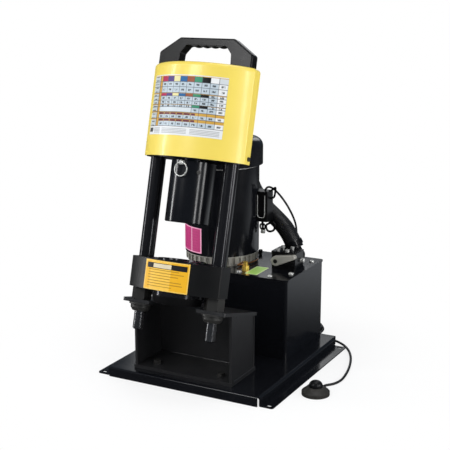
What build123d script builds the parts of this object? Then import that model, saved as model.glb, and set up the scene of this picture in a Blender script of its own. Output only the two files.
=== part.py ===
from build123d import *
import os
from math import cos, pi, radians, sin, sqrt, tan

# Hose crimping machine: a two-rod hydraulic press leaning back on a welded
# bench stand, with an electric pump unit behind it on the same tray.
# Millimetres, +Z up, the press faces -Y. The origin is the middle of the four
# mounting slots, on the surface that the tray stands on.

# Tray
TRAY_WIDTH = 407.0
TRAY_DEPTH = 464.0
TRAY_HEIGHT = 23.0
SHEET = 3.0
RAIL_BEND = 8.0
EDGE_BEND = 4.0
LIP_WIDTH = 30.5
LIP_FRONT = 5.0
LIP_TO_BACK = 18.0
LIP_CORNER = 6.0
CORNER_NOTCH = 6.0
SLOT_LENGTH = 14.0
SLOT_WIDTH = 9.0
SLOT_INSET_X = 13.0
SLOT_INSET_Y = 11.0

# Press frame: where the rod plane meets the stand's top plate, and its lean
PRESS_X = -11.5
PRESS_FROM_EDGE = 8.0
PRESS_HEIGHT = 205.5
LEAN = 15.0

# Stand
STAND_BESIDE_RODS = 34.5
TOP_OVERHANG = 5.0
STAND_FRONT = 30.0
STAND_BACK = 146.0
STAND_FOOT = 8.0
PANEL = 6.0
FOOT_MARGIN = 2.0
BEAD = 2.5
TOP_PLATE = 8.0
TOP_FRONT = -20.0
TOP_CORNER = 8.0
HOSE_GATE_TO_FLANGE = 6.5
HOSE_GATE_BACK = 52.0
HOSE_GATE_CORNER = 24.0
STAND_BOLT_INSET = 43.0
STAND_BOLT_FROM_FRONT = 30.0
BOLT_R = 5.0
BOLT_AF = 17.0
BOLT_HEAD = 6.4
WASHER_R = 10.0
WASHER_T = 2.0
HOLE_CLEARANCE = 0.4

# Tie rods and their nuts
ROD_SPACING = 191.0
ROD_R = 17.5
STUD_R = 12.3
STUD_END = -70.0
FIT = 0.05
NUT_AF = 41.0
NUT_WASHER = 2.0
NUT_WASHER_R = 23.0
NUT_HEIGHT = 26.0
FLANGE_R = 27.0
FLANGE_T = 4.0
CONE_R = 23.0
CONE_TIP_R = 18.0
CONE_HEIGHT = 15.0
NUT_CHAMFER = 2.0

# Die block and bowl
BLOCK_BOTTOM = 29.5
BLOCK_HEIGHT = 70.0
BLOCK_BESIDE_ROD = 22.0
BLOCK_CORNER_FRONT = -25.0
BLOCK_MID_FRONT = -61.0
BLOCK_SIDE_BACK = 18.0
BLOCK_TAPER_IN = 55.5
BLOCK_TAPER_BACK = 60.0
BLOCK_MID_BACK = 72.0
BLOCK_EDGE = 4.0
BOWL_R = 55.0
BOWL_FLANGE_R = 60.0
BOWL_FLANGE_T = 10.0
BOWL_RIM = 3.5
BOWL_MOUTH_R = 49.0
BOWL_BORE_R = 40.0
BOWL_BORE_LENGTH = 30.0

# Head plate, cylinder, ram and pusher
HEAD_BOTTOM = 331.0
HEAD_THICK = 25.0
HEAD_BESIDE_ROD = 26.5
HEAD_CORNER_FRONT = -10.0
HEAD_MID_FRONT = -60.0
HEAD_TAPER_IN = 56.0
HEAD_MID_BACK = 66.0
BARREL_R = 58.0
BARREL_BORE_R = 46.0
BARREL_LENGTH = 154.0
CAP_R = 60.0
CAP_THICK = 20.0
RAM_R = 25.0
PISTON_THICK = 30.0
PISTON_HEADROOM = 26.0
SEAL_DEPTH = 5.0
SEAL_WIDTH = 6.0
SEAL_CLEARANCE = 0.03
WIPER_WIDTH = 5.0
WIPER_DEPTH = 4.0
WIPER_INSET = 6.0
PUSHER_R = 51.0
PUSHER_LENGTH = 142.0
PUSHER_GAP = 2.0
PUSHER_RECESS_R = 38.0
PUSHER_RECESS = 14.0
PUSHER_EDGE = 2.0
RAM_STUD_R = 18.0
RAM_STUD_LENGTH = 29.0
PIN_R = 5.0
PIN_DEPTH = 37.0
PIN_HEIGHT = 321.5
PIN_BALL_R = 5.5
PIN_EYE_R = 3.0
PIN_STAND_OFF = 6.5
RING_R = 15.5
RING_WIRE_R = 1.5
SET_SCREW_R = 4.5
SET_SCREW_HEAD = 3.0
SET_SCREW_DEPTH = 12.0
SET_SCREW_HEIGHT = 303.0
SET_SCREW_TURN = 43.0

# Cover, top bar and handle
COVER_BOTTOM = 333.0
COVER_HEIGHT = 215.0
COVER_BESIDE_HEAD = 8.0
COVER_CORNER_FRONT = -7.0
COVER_MID_FRONT = -67.0
COVER_BACK = 20.0
COVER_SHEET = 2.0
COVER_TOP_BEND = 10.0
COVER_CORNER = 8.0
TOP_BAR_THICK = 16.0
TOP_BAR_PAST_SCREW = 17.0
TOP_BAR_DEPTH = 26.0
COVER_SCREW_R = 3.0
COVER_SCREW_HEAD_R = 5.0
COVER_SCREW_HEAD = 3.5
COVER_SCREW_DEPTH = 10.0
COVER_SPACER_R = 5.5
COVER_SCREW_N = 10.0
HANDLE_HALF = 121.0
HANDLE_FOOT = 53.0
HANDLE_SHOULDER = 28.0
HANDLE_HEIGHT = 63.0
HANDLE_TOP_HALF = 70.0
HANDLE_GRIP = 17.0
HANDLE_DEPTH = 28.0
HANDLE_MID = 3.0
HANDLE_EDGE = 4.0
HANDLE_INNER_HALF = 51.0
RIPPLES = 4
RIPPLE_DEPTH = 2.6
HANDLE_SCREW_INSET = 26.0
HANDLE_SCREW_R = 4.0
HANDLE_SCREW_HEAD_R = 6.5
HANDLE_SCREW_HEAD = 8.0
HANDLE_SCREW_IN = 20.0

# Reservoir
TANK_LEFT = -144.0
TANK_RIGHT = 157.0
TANK_DEPTH = 221.0
TANK_TO_TRAY_BACK = 2.0
TANK_TOP = 218.5
TANK_WALL = 3.0
TANK_CORNER = 6.0
TANK_FLANGE = 27.0
GASKET = 1.5
LID = 4.5
LID_OVERHANG = 2.0
LID_SCREW_R = 3.5
LID_SCREW_HEAD_R = 6.5
LID_SCREW_HEAD = 4.0
LID_SCREW_DROP = 8.0
LID_SCREW_INSET = 15.0
LID_SCREW_FROM_FRONT = 58.0
LID_SCREW_FROM_BACK = 36.0
LID_SCREW_FRONT_XS = (20.0, 104.0)
LID_SCREW_BACK_XS = (-20.0, 34.0)
TANK_BOLT_INSET = 30.0

# Motor, its adapter and the pump
MOTOR_X = -81.5
MOTOR_TO_TANK_BACK = 104.0
ADAPTER_R = 88.0
ADAPTER_HEIGHT = 25.0
ADAPTER_WALL = 6.0
ADAPTER_FLOOR = 5.0
FIN_COUNT = 36
FIN_THICK = 5.0
FIN_OUT = 5.0
MOTOR_R = 95.0
MOTOR_WALL = 4.0
MOTOR_HEIGHT = 233.0
MOTOR_END = 8.0
TRIM_HEIGHT = 3.0
TRIM_OUT = 1.5
FAN_COVER_R = 104.0
FAN_COVER_WALL = 3.0
FAN_COVER_HEIGHT = 66.0
FAN_COVER_DOME = 22.0
FAN_COVER_LAP = 8.0
FAN_SLOT = 4.0
FAN_SLOTS = 14
FAN_SLOT_INNER = 30.0
FAN_SLOT_RIM = 6.0
SHAFT_R = 10.0
SHAFT_DROP = 17.0
STATOR_R = 90.5
STATOR_BORE_R = 52.0
STATOR_HEIGHT = 120.0
WINDING_OUT = 18.0
WINDING_IN_OUTER = 12.0
WINDING_IN_INNER = 8.0
ROTOR_R = 51.0
ROTOR_HEIGHT = 124.0
ROTOR_CLEARANCE = 13.0
BEARING_R = 23.5
BEARING_WIDTH = 14.0
FAN_R = 84.0
FAN_BLADES = 8
FAN_HEIGHT = 26.0
FAN_CLEARANCE = 8.0
FAN_DISC = 3.0
COUPLING_R = 20.0
COUPLING_HEIGHT = 26.0
PUMP_R = 33.0
PUMP_HEIGHT = 84.0
STRAINER_R = 26.0
STRAINER_HEIGHT = 44.0
STRAINER_OFFSET = 62.0

# Valve, lever and hose
VALVE_X = 106.5
VALVE_WIDTH = 64.0
VALVE_TO_TANK_BACK = 134.0
VALVE_DEPTH = 52.0
VALVE_HEIGHT = 36.0
VALVE_PLATE = 8.0
VALVE_PLATE_OVER = 1.5
VALVE_EDGE = 2.0
VALVE_SCREW_R = 3.0
VALVE_SCREW_HEAD_R = 5.0
VALVE_SCREW_HEAD = 5.0
VALVE_SCREW_ROWS = (12.0, 42.0)
VALVE_SCREW_COLUMNS = (-20.0, 6.0)
VALVE_SCREW_IN = 5.0
LEVER_X = 91.5
LEVER_HEIGHT = 22.5
LEVER_HUB_R = 12.5
LEVER_TIP_R = 5.5
LEVER_LENGTH = 47.0
LEVER_RISE = 14.0
LEVER_THICK = 13.0
SPINDLE_R = 6.0
SPINDLE_DEPTH = 26.0
LEVER_GAP = 2.0
PORT_X = 113.5
PORT_HEIGHT = 20.0
ELBOW_R = 14.0
ELBOW_BALL_R = 16.0
ELBOW_REACH = 28.0
SOCKET_R = 24.0
SOCKET_LENGTH = 20.0
SOCKET_LEAN = 29.0
PORT_BOSS_R = 17.0
HOSE_R = 22.0
HOSE_LEAD = 26.0
HOSE_END_LEAD = 44.0
HOSE_PORT_HEIGHT = 492.0
HOSE_PORT_REACH = 14.0
CONTROL_X = 24.0
CONTROL_BEHIND_MOTOR = 27.0
CONTROL_BASE = 329.0
CONTROL_WIDTH = 30.0
CONTROL_DEPTH = 34.0
CONTROL_HEIGHT = 78.0
CONTROL_EDGE = 3.0
CONTROL_LID = 3.0
CABLE_R = 2.6
BRASS_X = 27.0
BRASS_FROM_TANK_FRONT = 37.0
BRASS_AF = 17.0
BRASS_HEIGHT = 12.0
BRASS_ELBOW_R = 6.0
BRASS_RISE = 10.0
FILLER_X = 66.0
FILLER_TO_TANK_BACK = 37.0
FILLER_R = 14.0
FILLER_HEIGHT = 9.0
FILLER_NECK_R = 9.0
DIPSTICK_R = 3.0
DIPSTICK_LENGTH = 90.0

# Foot switch and its cord
CORD_R = 3.0
CORD_BENDS = (
    (137.0, 502.0), (153.0, 489.0), (182.0, 483.0), (215.0, 466.0), (244.0, 435.0), (266.0, 397.0), (284.0, 351.0),
    (298.0, 300.0), (306.0, 252.0), (307.0, 222.0), (299.0, 197.0),
)
GLAND_X = 40.0
GLAND_HEIGHT = 11.0
GLAND_R = 7.0
GLAND_NUT = 5.0
GLAND_LENGTH = 13.0
COIL_MEAN_R = 33.0
COIL_TURNS_WIDE = 3
COIL_TURNS_HIGH = 2
COIL_BEHIND = 63.0
LEAD_POINTS = ((0.0, 12.0, 11.0), (-0.4, 26.0, 5.5), (0.0, 41.0, 3.2), (0.0, 63.0, 3.2))
SWITCH_X = 283.5
SWITCH_Y = 131.0
SWITCH_R = 32.5
SWITCH_HEIGHT = 19.0
SWITCH_RIM = 5.0
SWITCH_SHOULDER_R = 24.0
DOME_R = 16.0
DOME_HEIGHT = 14.0
DOME_SKIRT = 8.0
DOME_TRAVEL = 3.0
DOME_GAP = 0.3

# What follows from the sizes above
LIP_BACK = TRAY_DEPTH - LIP_TO_BACK
STAND_WIDTH = ROD_SPACING + 2 * STAND_BESIDE_RODS
HOSE_GATE_HALF = ROD_SPACING / 2 - FLANGE_R - HOSE_GATE_TO_FLANGE
STAND_BOLT_HALF = STAND_WIDTH / 2 - STAND_BOLT_INSET
BLOCK_HALF = ROD_SPACING / 2 + BLOCK_BESIDE_ROD
BLOCK_TAPER_HALF = BLOCK_HALF - BLOCK_TAPER_IN
HEAD_HALF = ROD_SPACING / 2 + HEAD_BESIDE_ROD
HEAD_TAPER_HALF = HEAD_HALF - HEAD_TAPER_IN
COVER_HALF = HEAD_HALF + COVER_BESIDE_HEAD
HANDLE_SCREW_HALF = HANDLE_HALF - HANDLE_SCREW_INSET
TOP_BAR_HALF = HANDLE_SCREW_HALF + TOP_BAR_PAST_SCREW
TANK_BACK = TRAY_DEPTH - TANK_TO_TRAY_BACK
TANK_FRONT = TANK_BACK - TANK_DEPTH
LID_SCREW_RIGHT_YS = (TANK_FRONT + LID_SCREW_FROM_FRONT, TANK_BACK - LID_SCREW_FROM_BACK)
MOTOR_Y = TANK_BACK - MOTOR_TO_TANK_BACK
VALVE_FRONT = TANK_BACK - VALVE_TO_TANK_BACK
CONTROL_Y = MOTOR_Y + CONTROL_BEHIND_MOTOR
BRASS_Y = TANK_FRONT + BRASS_FROM_TANK_FRONT
FILLER_Y = TANK_BACK - FILLER_TO_TANK_BACK

# Everything is laid out from the tray's front edge and moved to the origin last
ORIGIN_Y = (LIP_FRONT + LIP_BACK) / 2
TO_ORIGIN = Location((0, -ORIGIN_Y, 0))
PRESS = Location((PRESS_X, PRESS_FROM_EDGE, PRESS_HEIGHT), (-LEAN, 0, 0))

HALF_TRAY = TRAY_WIDTH / 2
SLOT_X = HALF_TRAY + LIP_WIDTH - SLOT_INSET_X
BLOCK_TOP = BLOCK_BOTTOM + BLOCK_HEIGHT
HEAD_TOP = HEAD_BOTTOM + HEAD_THICK
BARREL_TOP = HEAD_TOP + BARREL_LENGTH
CAP_TOP = BARREL_TOP + CAP_THICK
COVER_TOP = COVER_BOTTOM + COVER_HEIGHT
PUSHER_TOP = HEAD_BOTTOM - PUSHER_GAP
PUSHER_BOTTOM = PUSHER_TOP - PUSHER_LENGTH
PISTON_TOP = BARREL_TOP - PISTON_HEADROOM
PISTON_BOTTOM = PISTON_TOP - PISTON_THICK
LID_BOTTOM = TANK_TOP + GASKET
LID_TOP = LID_BOTTOM + LID
TANK_MID_X = (TANK_LEFT + TANK_RIGHT) / 2
TANK_MID_Y = (TANK_FRONT + TANK_BACK) / 2
ADAPTER_TOP = LID_TOP + ADAPTER_HEIGHT
MOTOR_TOP = ADAPTER_TOP + MOTOR_HEIGHT
FAN_COVER_TOP = MOTOR_TOP - FAN_COVER_LAP + FAN_COVER_HEIGHT
FAN_BASE = MOTOR_TOP + FAN_CLEARANCE
SHAFT_BOTTOM = LID_TOP - SHAFT_DROP
ROTOR_BASE = ADAPTER_TOP + MOTOR_END + BEARING_WIDTH + ROTOR_CLEARANCE
VALVE_TOP = LID_TOP + VALVE_HEIGHT
PIN_N = -(PUSHER_R + PIN_STAND_OFF)

# Bends of the pressure hose, from the motor's axis and the lid
HOSE_BENDS = (
    (143.5, 58.0, 92.5), (114.5, 74.0, 106.5), (69.0, 104.0, 123.5), (11.5, 136.0, 173.5), (-2.5, 140.0, 240.5),
    (-8.5, 140.0, 295.5), (-10.5, 126.0, 350.5), (-4.5, 78.0, 397.5), (29.5, 20.0, 423.5),
)
# Bends of the control lead, from the control box's middle and top
LEAD_BENDS = (
    (4.0, 0.0, 0.0), (4.0, 0.0, 15.0), (20.0, 4.0, 16.0), (40.0, 10.0, -8.0), (57.0, 19.0, -36.0), (68.0, 33.0, -68.0),
    (70.0, 50.0, -98.0),
)
LEAD_END_X = 90.0
LEAD_END_INSET = 17.0
LEAD_RISE = 44.0

LOW = (Align.CENTER, Align.CENTER, Align.MIN)


def post(r, z0, z1, x=0.0, y=0.0):
    """Round bar standing from z0 to z1."""
    return Pos(x, y, z0) * Cylinder(r, z1 - z0, align=LOW)


def tube(r_out, r_in, z0, z1, x=0.0, y=0.0):
    return post(r_out, z0, z1, x, y) - post(r_in, z0 - 1, z1 + 1, x, y)


def hexagon(across_flats, z0, z1, x=0.0, y=0.0, turn=0.0):
    shape = extrude(RegularPolygon(across_flats / 2, 6, major_radius=False, rotation=turn), z1 - z0)
    return Pos(x, y, z0) * shape


def bar_x(r, x0, x1, y, z):
    """Round bar lying along X."""
    return Pos(x0, y, z) * Rot(0, 90, 0) * Cylinder(r, x1 - x0, align=LOW)


def bar_y(r, y0, y1, x, z):
    """Round bar lying along Y."""
    return Pos(x, y0, z) * Rot(-90, 0, 0) * Cylinder(r, y1 - y0, align=LOW)


def box(x0, x1, y0, y1, z0, z1):
    return Pos((x0 + x1) / 2, (y0 + y1) / 2, (z0 + z1) / 2) * Box(x1 - x0, y1 - y0, z1 - z0)


def group(pieces):
    return Compound(children=[piece for piece in pieces])


def plate(outline, z0, z1):
    return Pos(0, 0, z0) * extrude(make_face(outline), z1 - z0)


def upright_edges(part):
    return part.edges().filter_by(Axis.Z)


def base_tray():
    inner = HALF_TRAY - SHEET
    outer = HALF_TRAY + LIP_WIDTH
    underside = TRAY_HEIGHT - SHEET
    rails = make_face(
        Polyline(
            (-outer, 0), (-inner, 0), (-inner, underside), (inner, underside), (inner, 0), (outer, 0),
            (outer, SHEET), (HALF_TRAY, SHEET), (HALF_TRAY, TRAY_HEIGHT), (-HALF_TRAY, TRAY_HEIGHT),
            (-HALF_TRAY, SHEET), (-outer, SHEET), close=True,
        )
    )
    crests = [v for v in rails.vertices() if abs(v.Y - TRAY_HEIGHT) < 0.01]
    rails = fillet(crests, RAIL_BEND)
    valleys = [v for v in rails.vertices() if abs(v.Y - underside) < 0.01]
    rails = fillet(valleys, RAIL_BEND - SHEET)
    feet = [v for v in rails.vertices() if abs(v.Y) < 0.01 and abs(abs(v.X) - inner) < 0.01]
    rails = fillet(feet, SHEET)
    channel = Pos(0, LIP_FRONT, 0) * extrude(Plane.XZ * rails, -(LIP_BACK - LIP_FRONT))
    ends = make_face(
        Polyline(
            (0, 0), (SHEET, 0), (SHEET, underside), (TRAY_DEPTH - SHEET, underside), (TRAY_DEPTH - SHEET, 0),
            (TRAY_DEPTH, 0), (TRAY_DEPTH, TRAY_HEIGHT), (0, TRAY_HEIGHT), close=True,
        )
    )
    ends = fillet([v for v in ends.vertices() if abs(v.Y - TRAY_HEIGHT) < 0.01], EDGE_BEND)
    half_end = HALF_TRAY - CORNER_NOTCH
    flanges = Pos(-half_end, 0, 0) * extrude(Plane.YZ * ends, 2 * half_end)
    tray = channel + flanges
    lip_corners = [e for e in upright_edges(tray) if abs(abs(e.center().X) - outer) < 0.01]
    tray = fillet(lip_corners, LIP_CORNER)
    for x in (-SLOT_X, SLOT_X):
        for y in slot_rows():
            tray -= Pos(x, y, -1) * extrude(SlotOverall(SLOT_LENGTH, SLOT_WIDTH), SHEET + 2)
    for x, y in stand_bolt_places() + tank_bolt_places():
        tray -= post(BOLT_R + HOLE_CLEARANCE, underside - 1, TRAY_HEIGHT + 1, x, y)
    tray -= bar_y(GLAND_R + HOLE_CLEARANCE, TRAY_DEPTH - SHEET - 1, TRAY_DEPTH + 1, GLAND_X, GLAND_HEIGHT)
    return tray


def slot_rows():
    return (LIP_FRONT + SLOT_INSET_Y, LIP_BACK - SLOT_INSET_Y)


def stand_bolt_places():
    y = STAND_FRONT + STAND_BOLT_FROM_FRONT
    return [(PRESS_X + side * STAND_BOLT_HALF, y) for side in (-1, 1)]


def tank_bolt_places():
    xs = (TANK_LEFT + TANK_BOLT_INSET, TANK_RIGHT - TANK_BOLT_INSET)
    ys = (TANK_FRONT + TANK_BOLT_INSET, TANK_BACK - TANK_BOLT_INSET)
    return [(x, y) for x in xs for y in ys]


def under_top_plate(y):
    """Height of the leaning top plate's underside at a distance from the tray's front edge."""
    return PRESS_HEIGHT - (TOP_PLATE + (y - PRESS_FROM_EDGE) * sin(radians(LEAN))) / cos(radians(LEAN))


def bench_stand():
    foot_top = TRAY_HEIGHT + STAND_FOOT
    half = STAND_WIDTH / 2
    foot = box(
        PRESS_X - half - FOOT_MARGIN, PRESS_X + half + FOOT_MARGIN,
        STAND_FRONT - FOOT_MARGIN, STAND_BACK + FOOT_MARGIN, TRAY_HEIGHT, foot_top,
    )
    side = make_face(
        Polyline(
            (STAND_FRONT, foot_top), (STAND_BACK, foot_top), (STAND_BACK, under_top_plate(STAND_BACK)),
            (STAND_FRONT, under_top_plate(STAND_FRONT)), close=True,
        )
    )
    stand = foot
    for x in (PRESS_X - half, PRESS_X + half - PANEL):
        stand += Pos(x, 0, 0) * extrude(Plane.YZ * side, PANEL)
    inside_back = STAND_BACK - PANEL
    back = make_face(
        Polyline(
            (inside_back, foot_top), (STAND_BACK, foot_top), (STAND_BACK, under_top_plate(STAND_BACK)),
            (inside_back, under_top_plate(inside_back)), close=True,
        )
    )
    stand += Pos(PRESS_X - half, 0, 0) * extrude(Plane.YZ * back, STAND_WIDTH)
    stand += stand_top_plate()
    for x in (PRESS_X - half, PRESS_X + half):
        stand += bar_y(BEAD, STAND_FRONT + PANEL, STAND_BACK, x, foot_top)
        stand += post(BEAD, foot_top, under_top_plate(STAND_BACK - PANEL) - BEAD, x, STAND_BACK - PANEL)
    stand += bar_x(BEAD, PRESS_X - half + PANEL, PRESS_X + half - PANEL, inside_back, foot_top)
    for x, y in stand_bolt_places():
        stand -= post(BOLT_R + HOLE_CLEARANCE, TRAY_HEIGHT - 1, foot_top + 1, x, y)
    return stand


def stand_top_plate():
    back = (STAND_BACK - PRESS_FROM_EDGE) / cos(radians(LEAN)) + TOP_PLATE * tan(radians(LEAN))
    top = box(-STAND_WIDTH / 2 - TOP_OVERHANG, STAND_WIDTH / 2 + TOP_OVERHANG, TOP_FRONT, back, -TOP_PLATE, 0)
    top = fillet([e for e in upright_edges(top) if e.center().Y < 0], TOP_CORNER)
    gate = box(-HOSE_GATE_HALF, HOSE_GATE_HALF, TOP_FRONT - HOSE_GATE_CORNER, HOSE_GATE_BACK, -TOP_PLATE, 0)
    top -= fillet(upright_edges(gate), HOSE_GATE_CORNER)
    for x in (-ROD_SPACING / 2, ROD_SPACING / 2):
        top -= post(STUD_R + HOLE_CLEARANCE, -TOP_PLATE - 1, 1, x)
    return PRESS * top


def stand_bolts():
    head_base = TRAY_HEIGHT + STAND_FOOT + WASHER_T
    return group(bolt_sets(stand_bolt_places(), head_base, TRAY_HEIGHT - SHEET - FIT))


def bolt_sets(places, head_base, nut_top):
    """Flanged bolt and nut at each place, the head on top."""
    pieces = []
    for x, y in places:
        bolt = hexagon(BOLT_AF, head_base, head_base + BOLT_HEAD, x, y)
        bolt += post(WASHER_R, head_base - WASHER_T, head_base, x, y)
        bolt += post(BOLT_R, nut_top - BOLT_HEAD - 2, head_base, x, y)
        pieces.append(bolt + hexagon(BOLT_AF, nut_top - BOLT_HEAD, nut_top, x, y))
    return pieces


def die_block():
    front = ThreePointArc((-BLOCK_HALF, BLOCK_CORNER_FRONT), (0, BLOCK_MID_FRONT), (BLOCK_HALF, BLOCK_CORNER_FRONT))
    right = Polyline(
        (BLOCK_HALF, BLOCK_CORNER_FRONT), (BLOCK_HALF, BLOCK_SIDE_BACK), (BLOCK_TAPER_HALF, BLOCK_TAPER_BACK)
    )
    back = ThreePointArc((BLOCK_TAPER_HALF, BLOCK_TAPER_BACK), (0, BLOCK_MID_BACK), (-BLOCK_TAPER_HALF, BLOCK_TAPER_BACK))
    left = Polyline(
        (-BLOCK_TAPER_HALF, BLOCK_TAPER_BACK), (-BLOCK_HALF, BLOCK_SIDE_BACK), (-BLOCK_HALF, BLOCK_CORNER_FRONT)
    )
    block = plate(front + right + back + left, BLOCK_BOTTOM, BLOCK_TOP)
    block = fillet(upright_edges(block), BLOCK_EDGE)
    block -= post(BOWL_R, BLOCK_BOTTOM - 1, BLOCK_TOP + 1)
    for x in (-ROD_SPACING / 2, ROD_SPACING / 2):
        block -= post(STUD_R + FIT, BLOCK_BOTTOM - 1, BLOCK_TOP + 1, x)
    return PRESS * block


def die_bowl():
    """Hardened liner with a straight bore below and a cone above, flanged under the block."""
    flange_bottom = BLOCK_BOTTOM - BOWL_FLANGE_T
    rim = BLOCK_TOP + BOWL_RIM
    skin = BOWL_R - FIT
    section = Polyline(
        (BOWL_BORE_R, flange_bottom), (BOWL_FLANGE_R, flange_bottom), (BOWL_FLANGE_R, BLOCK_BOTTOM),
        (skin, BLOCK_BOTTOM), (skin, rim), (BOWL_MOUTH_R, rim),
        (BOWL_BORE_R, flange_bottom + BOWL_BORE_LENGTH), close=True,
    )
    return PRESS * revolve(Plane.XZ * make_face(section), Axis.Z)


def tie_rod(side):
    x = side * ROD_SPACING / 2
    rod = post(ROD_R, BLOCK_TOP, HEAD_BOTTOM, x)
    rod += post(STUD_R, STUD_END, BLOCK_TOP, x)
    rod += post(STUD_R, HEAD_BOTTOM, HEAD_TOP + NUT_HEIGHT + 2 * NUT_CHAMFER, x)
    tips = [e for e in rod.edges().filter_by(GeomType.CIRCLE) if abs(e.radius - STUD_R) < 0.01]
    tips = [e for e in tips if e.center().Z < STUD_END + 1 or e.center().Z > HEAD_TOP + NUT_HEIGHT]
    return PRESS * chamfer(tips, NUT_CHAMFER)


def rod_nut(z0, z1, x):
    """Hexagon nut with turned-down corners at both faces."""
    nut = hexagon(NUT_AF, z0, z1, x, turn=15)
    radius = NUT_AF / 2 / cos(radians(30))
    turned = post(radius, z0, z1, x)
    turned = chamfer(turned.edges().filter_by(GeomType.CIRCLE), NUT_CHAMFER)
    return (nut & turned) - post(STUD_R + FIT, z0 - 1, z1 + 1, x)


def rod_nuts_lower():
    pieces = []
    for x in (-ROD_SPACING / 2, ROD_SPACING / 2):
        pieces.append(rod_nut(0, BLOCK_BOTTOM - NUT_WASHER, x))
        pieces.append(tube(NUT_WASHER_R, STUD_R + FIT, BLOCK_BOTTOM - NUT_WASHER, BLOCK_BOTTOM, x))
    return group([PRESS * piece for piece in pieces])


def rod_nuts_upper():
    xs = (-ROD_SPACING / 2, ROD_SPACING / 2)
    return group([PRESS * rod_nut(HEAD_TOP, HEAD_TOP + NUT_HEIGHT, x) for x in xs])


def flange_nuts():
    top = -TOP_PLATE
    bore = STUD_R + FIT
    section = Polyline(
        (bore, top), (FLANGE_R, top), (FLANGE_R, top - FLANGE_T), (CONE_R, top - FLANGE_T - 1),
        (CONE_R, top - FLANGE_T - CONE_HEIGHT / 2), (CONE_TIP_R, top - FLANGE_T - CONE_HEIGHT),
        (bore, top - FLANGE_T - CONE_HEIGHT), close=True,
    )
    nut = revolve(Plane.XZ * make_face(section), Axis.Z)
    return group([PRESS * Pos(x, 0, 0) * nut for x in (-ROD_SPACING / 2, ROD_SPACING / 2)])


def cylinder_head():
    front = ThreePointArc((-HEAD_HALF, HEAD_CORNER_FRONT), (0, HEAD_MID_FRONT), (HEAD_HALF, HEAD_CORNER_FRONT))
    right = Polyline(
        (HEAD_HALF, HEAD_CORNER_FRONT), (HEAD_HALF, COVER_BACK), (HEAD_TAPER_HALF, HEAD_MID_BACK),
        (-HEAD_TAPER_HALF, HEAD_MID_BACK), (-HEAD_HALF, COVER_BACK), (-HEAD_HALF, HEAD_CORNER_FRONT),
    )
    head = plate(front + right, HEAD_BOTTOM, HEAD_TOP)
    head = fillet(upright_edges(head), BLOCK_EDGE)
    head -= post(RAM_R + FIT, HEAD_BOTTOM - 1, HEAD_TOP + 1)
    groove_base = HEAD_BOTTOM + WIPER_INSET
    head -= post(RAM_R + WIPER_DEPTH, groove_base, groove_base + WIPER_WIDTH)
    for x in (-ROD_SPACING / 2, ROD_SPACING / 2):
        head -= post(STUD_R + FIT, HEAD_BOTTOM - 1, HEAD_TOP + 1, x)
    for side in (-1, 1):
        head -= cover_screw_shank(side)
    return PRESS * head


def ram_wiper():
    base = HEAD_BOTTOM + WIPER_INSET
    return PRESS * tube(RAM_R + WIPER_DEPTH, RAM_R + SEAL_CLEARANCE, base, base + WIPER_WIDTH)


def cylinder_barrel():
    barrel = tube(BARREL_R, BARREL_BORE_R, HEAD_TOP, BARREL_TOP)
    boss = Pos(0, BARREL_R - 8, HOSE_PORT_HEIGHT) * Rot(-90, 0, 0) * Cylinder(PORT_BOSS_R, 12, align=LOW)
    barrel = barrel + boss - post(BARREL_BORE_R, HEAD_TOP, BARREL_TOP)
    barrel -= Pos(0, BARREL_BORE_R - 8, HOSE_PORT_HEIGHT) * Rot(-90, 0, 0) * Cylinder(ELBOW_R / 3, 40, align=LOW)
    return PRESS * barrel


def cylinder_cap():
    cap = post(CAP_R, BARREL_TOP, CAP_TOP)
    return PRESS * chamfer(cap.edges().group_by(Axis.Z)[-1], 2)


def top_bar():
    bar = box(-TOP_BAR_HALF, TOP_BAR_HALF, HANDLE_MID - TOP_BAR_DEPTH / 2, HANDLE_MID + TOP_BAR_DEPTH / 2,
              CAP_TOP, CAP_TOP + TOP_BAR_THICK)
    for x in (-HANDLE_SCREW_HALF, HANDLE_SCREW_HALF):
        bar -= post(HANDLE_SCREW_R + FIT, CAP_TOP - 1, CAP_TOP + TOP_BAR_THICK + 1, x, HANDLE_MID)
    return PRESS * bar


def pusher():
    body = post(PUSHER_R, PUSHER_BOTTOM, PUSHER_TOP)
    body = chamfer(body.edges().filter_by(GeomType.CIRCLE), PUSHER_EDGE)
    body -= post(PUSHER_RECESS_R, PUSHER_BOTTOM - 1, PUSHER_BOTTOM + PUSHER_RECESS)
    body -= post(RAM_STUD_R + FIT, PUSHER_TOP - RAM_STUD_LENGTH, PUSHER_TOP + 1)
    body -= pin_bar(PIN_R + FIT, PUSHER_R + 1)
    body -= set_screw_bar(SET_SCREW_R - 1 + FIT, PUSHER_R - SET_SCREW_DEPTH, PUSHER_R + 1)
    return PRESS * body


def pin_bar(r, n_front):
    return Pos(0, -n_front, PIN_HEIGHT) * Rot(-90, 0, 0) * Cylinder(r, PIN_DEPTH + n_front - PUSHER_R, align=LOW)


def set_screw_bar(r, n0, n1):
    bar = Pos(0, -n1, SET_SCREW_HEIGHT) * Rot(-90, 0, 0) * Cylinder(r, n1 - n0, align=LOW)
    return Rot(0, 0, SET_SCREW_TURN) * bar


def ram():
    """Ram and piston in one piece, with the stud that the pusher hangs on."""
    body = post(RAM_STUD_R, PUSHER_TOP - RAM_STUD_LENGTH, PUSHER_TOP)
    body += post(RAM_R, PUSHER_TOP, PISTON_BOTTOM)
    body += post(BARREL_BORE_R - FIT, PISTON_BOTTOM, PISTON_TOP)
    groove = (PISTON_BOTTOM + PISTON_TOP - SEAL_WIDTH) / 2
    body -= tube(BARREL_BORE_R, BARREL_BORE_R - SEAL_DEPTH, groove, groove + SEAL_WIDTH)
    body -= pin_bar(PIN_R + FIT, PUSHER_R + 1)
    return PRESS * body


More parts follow.
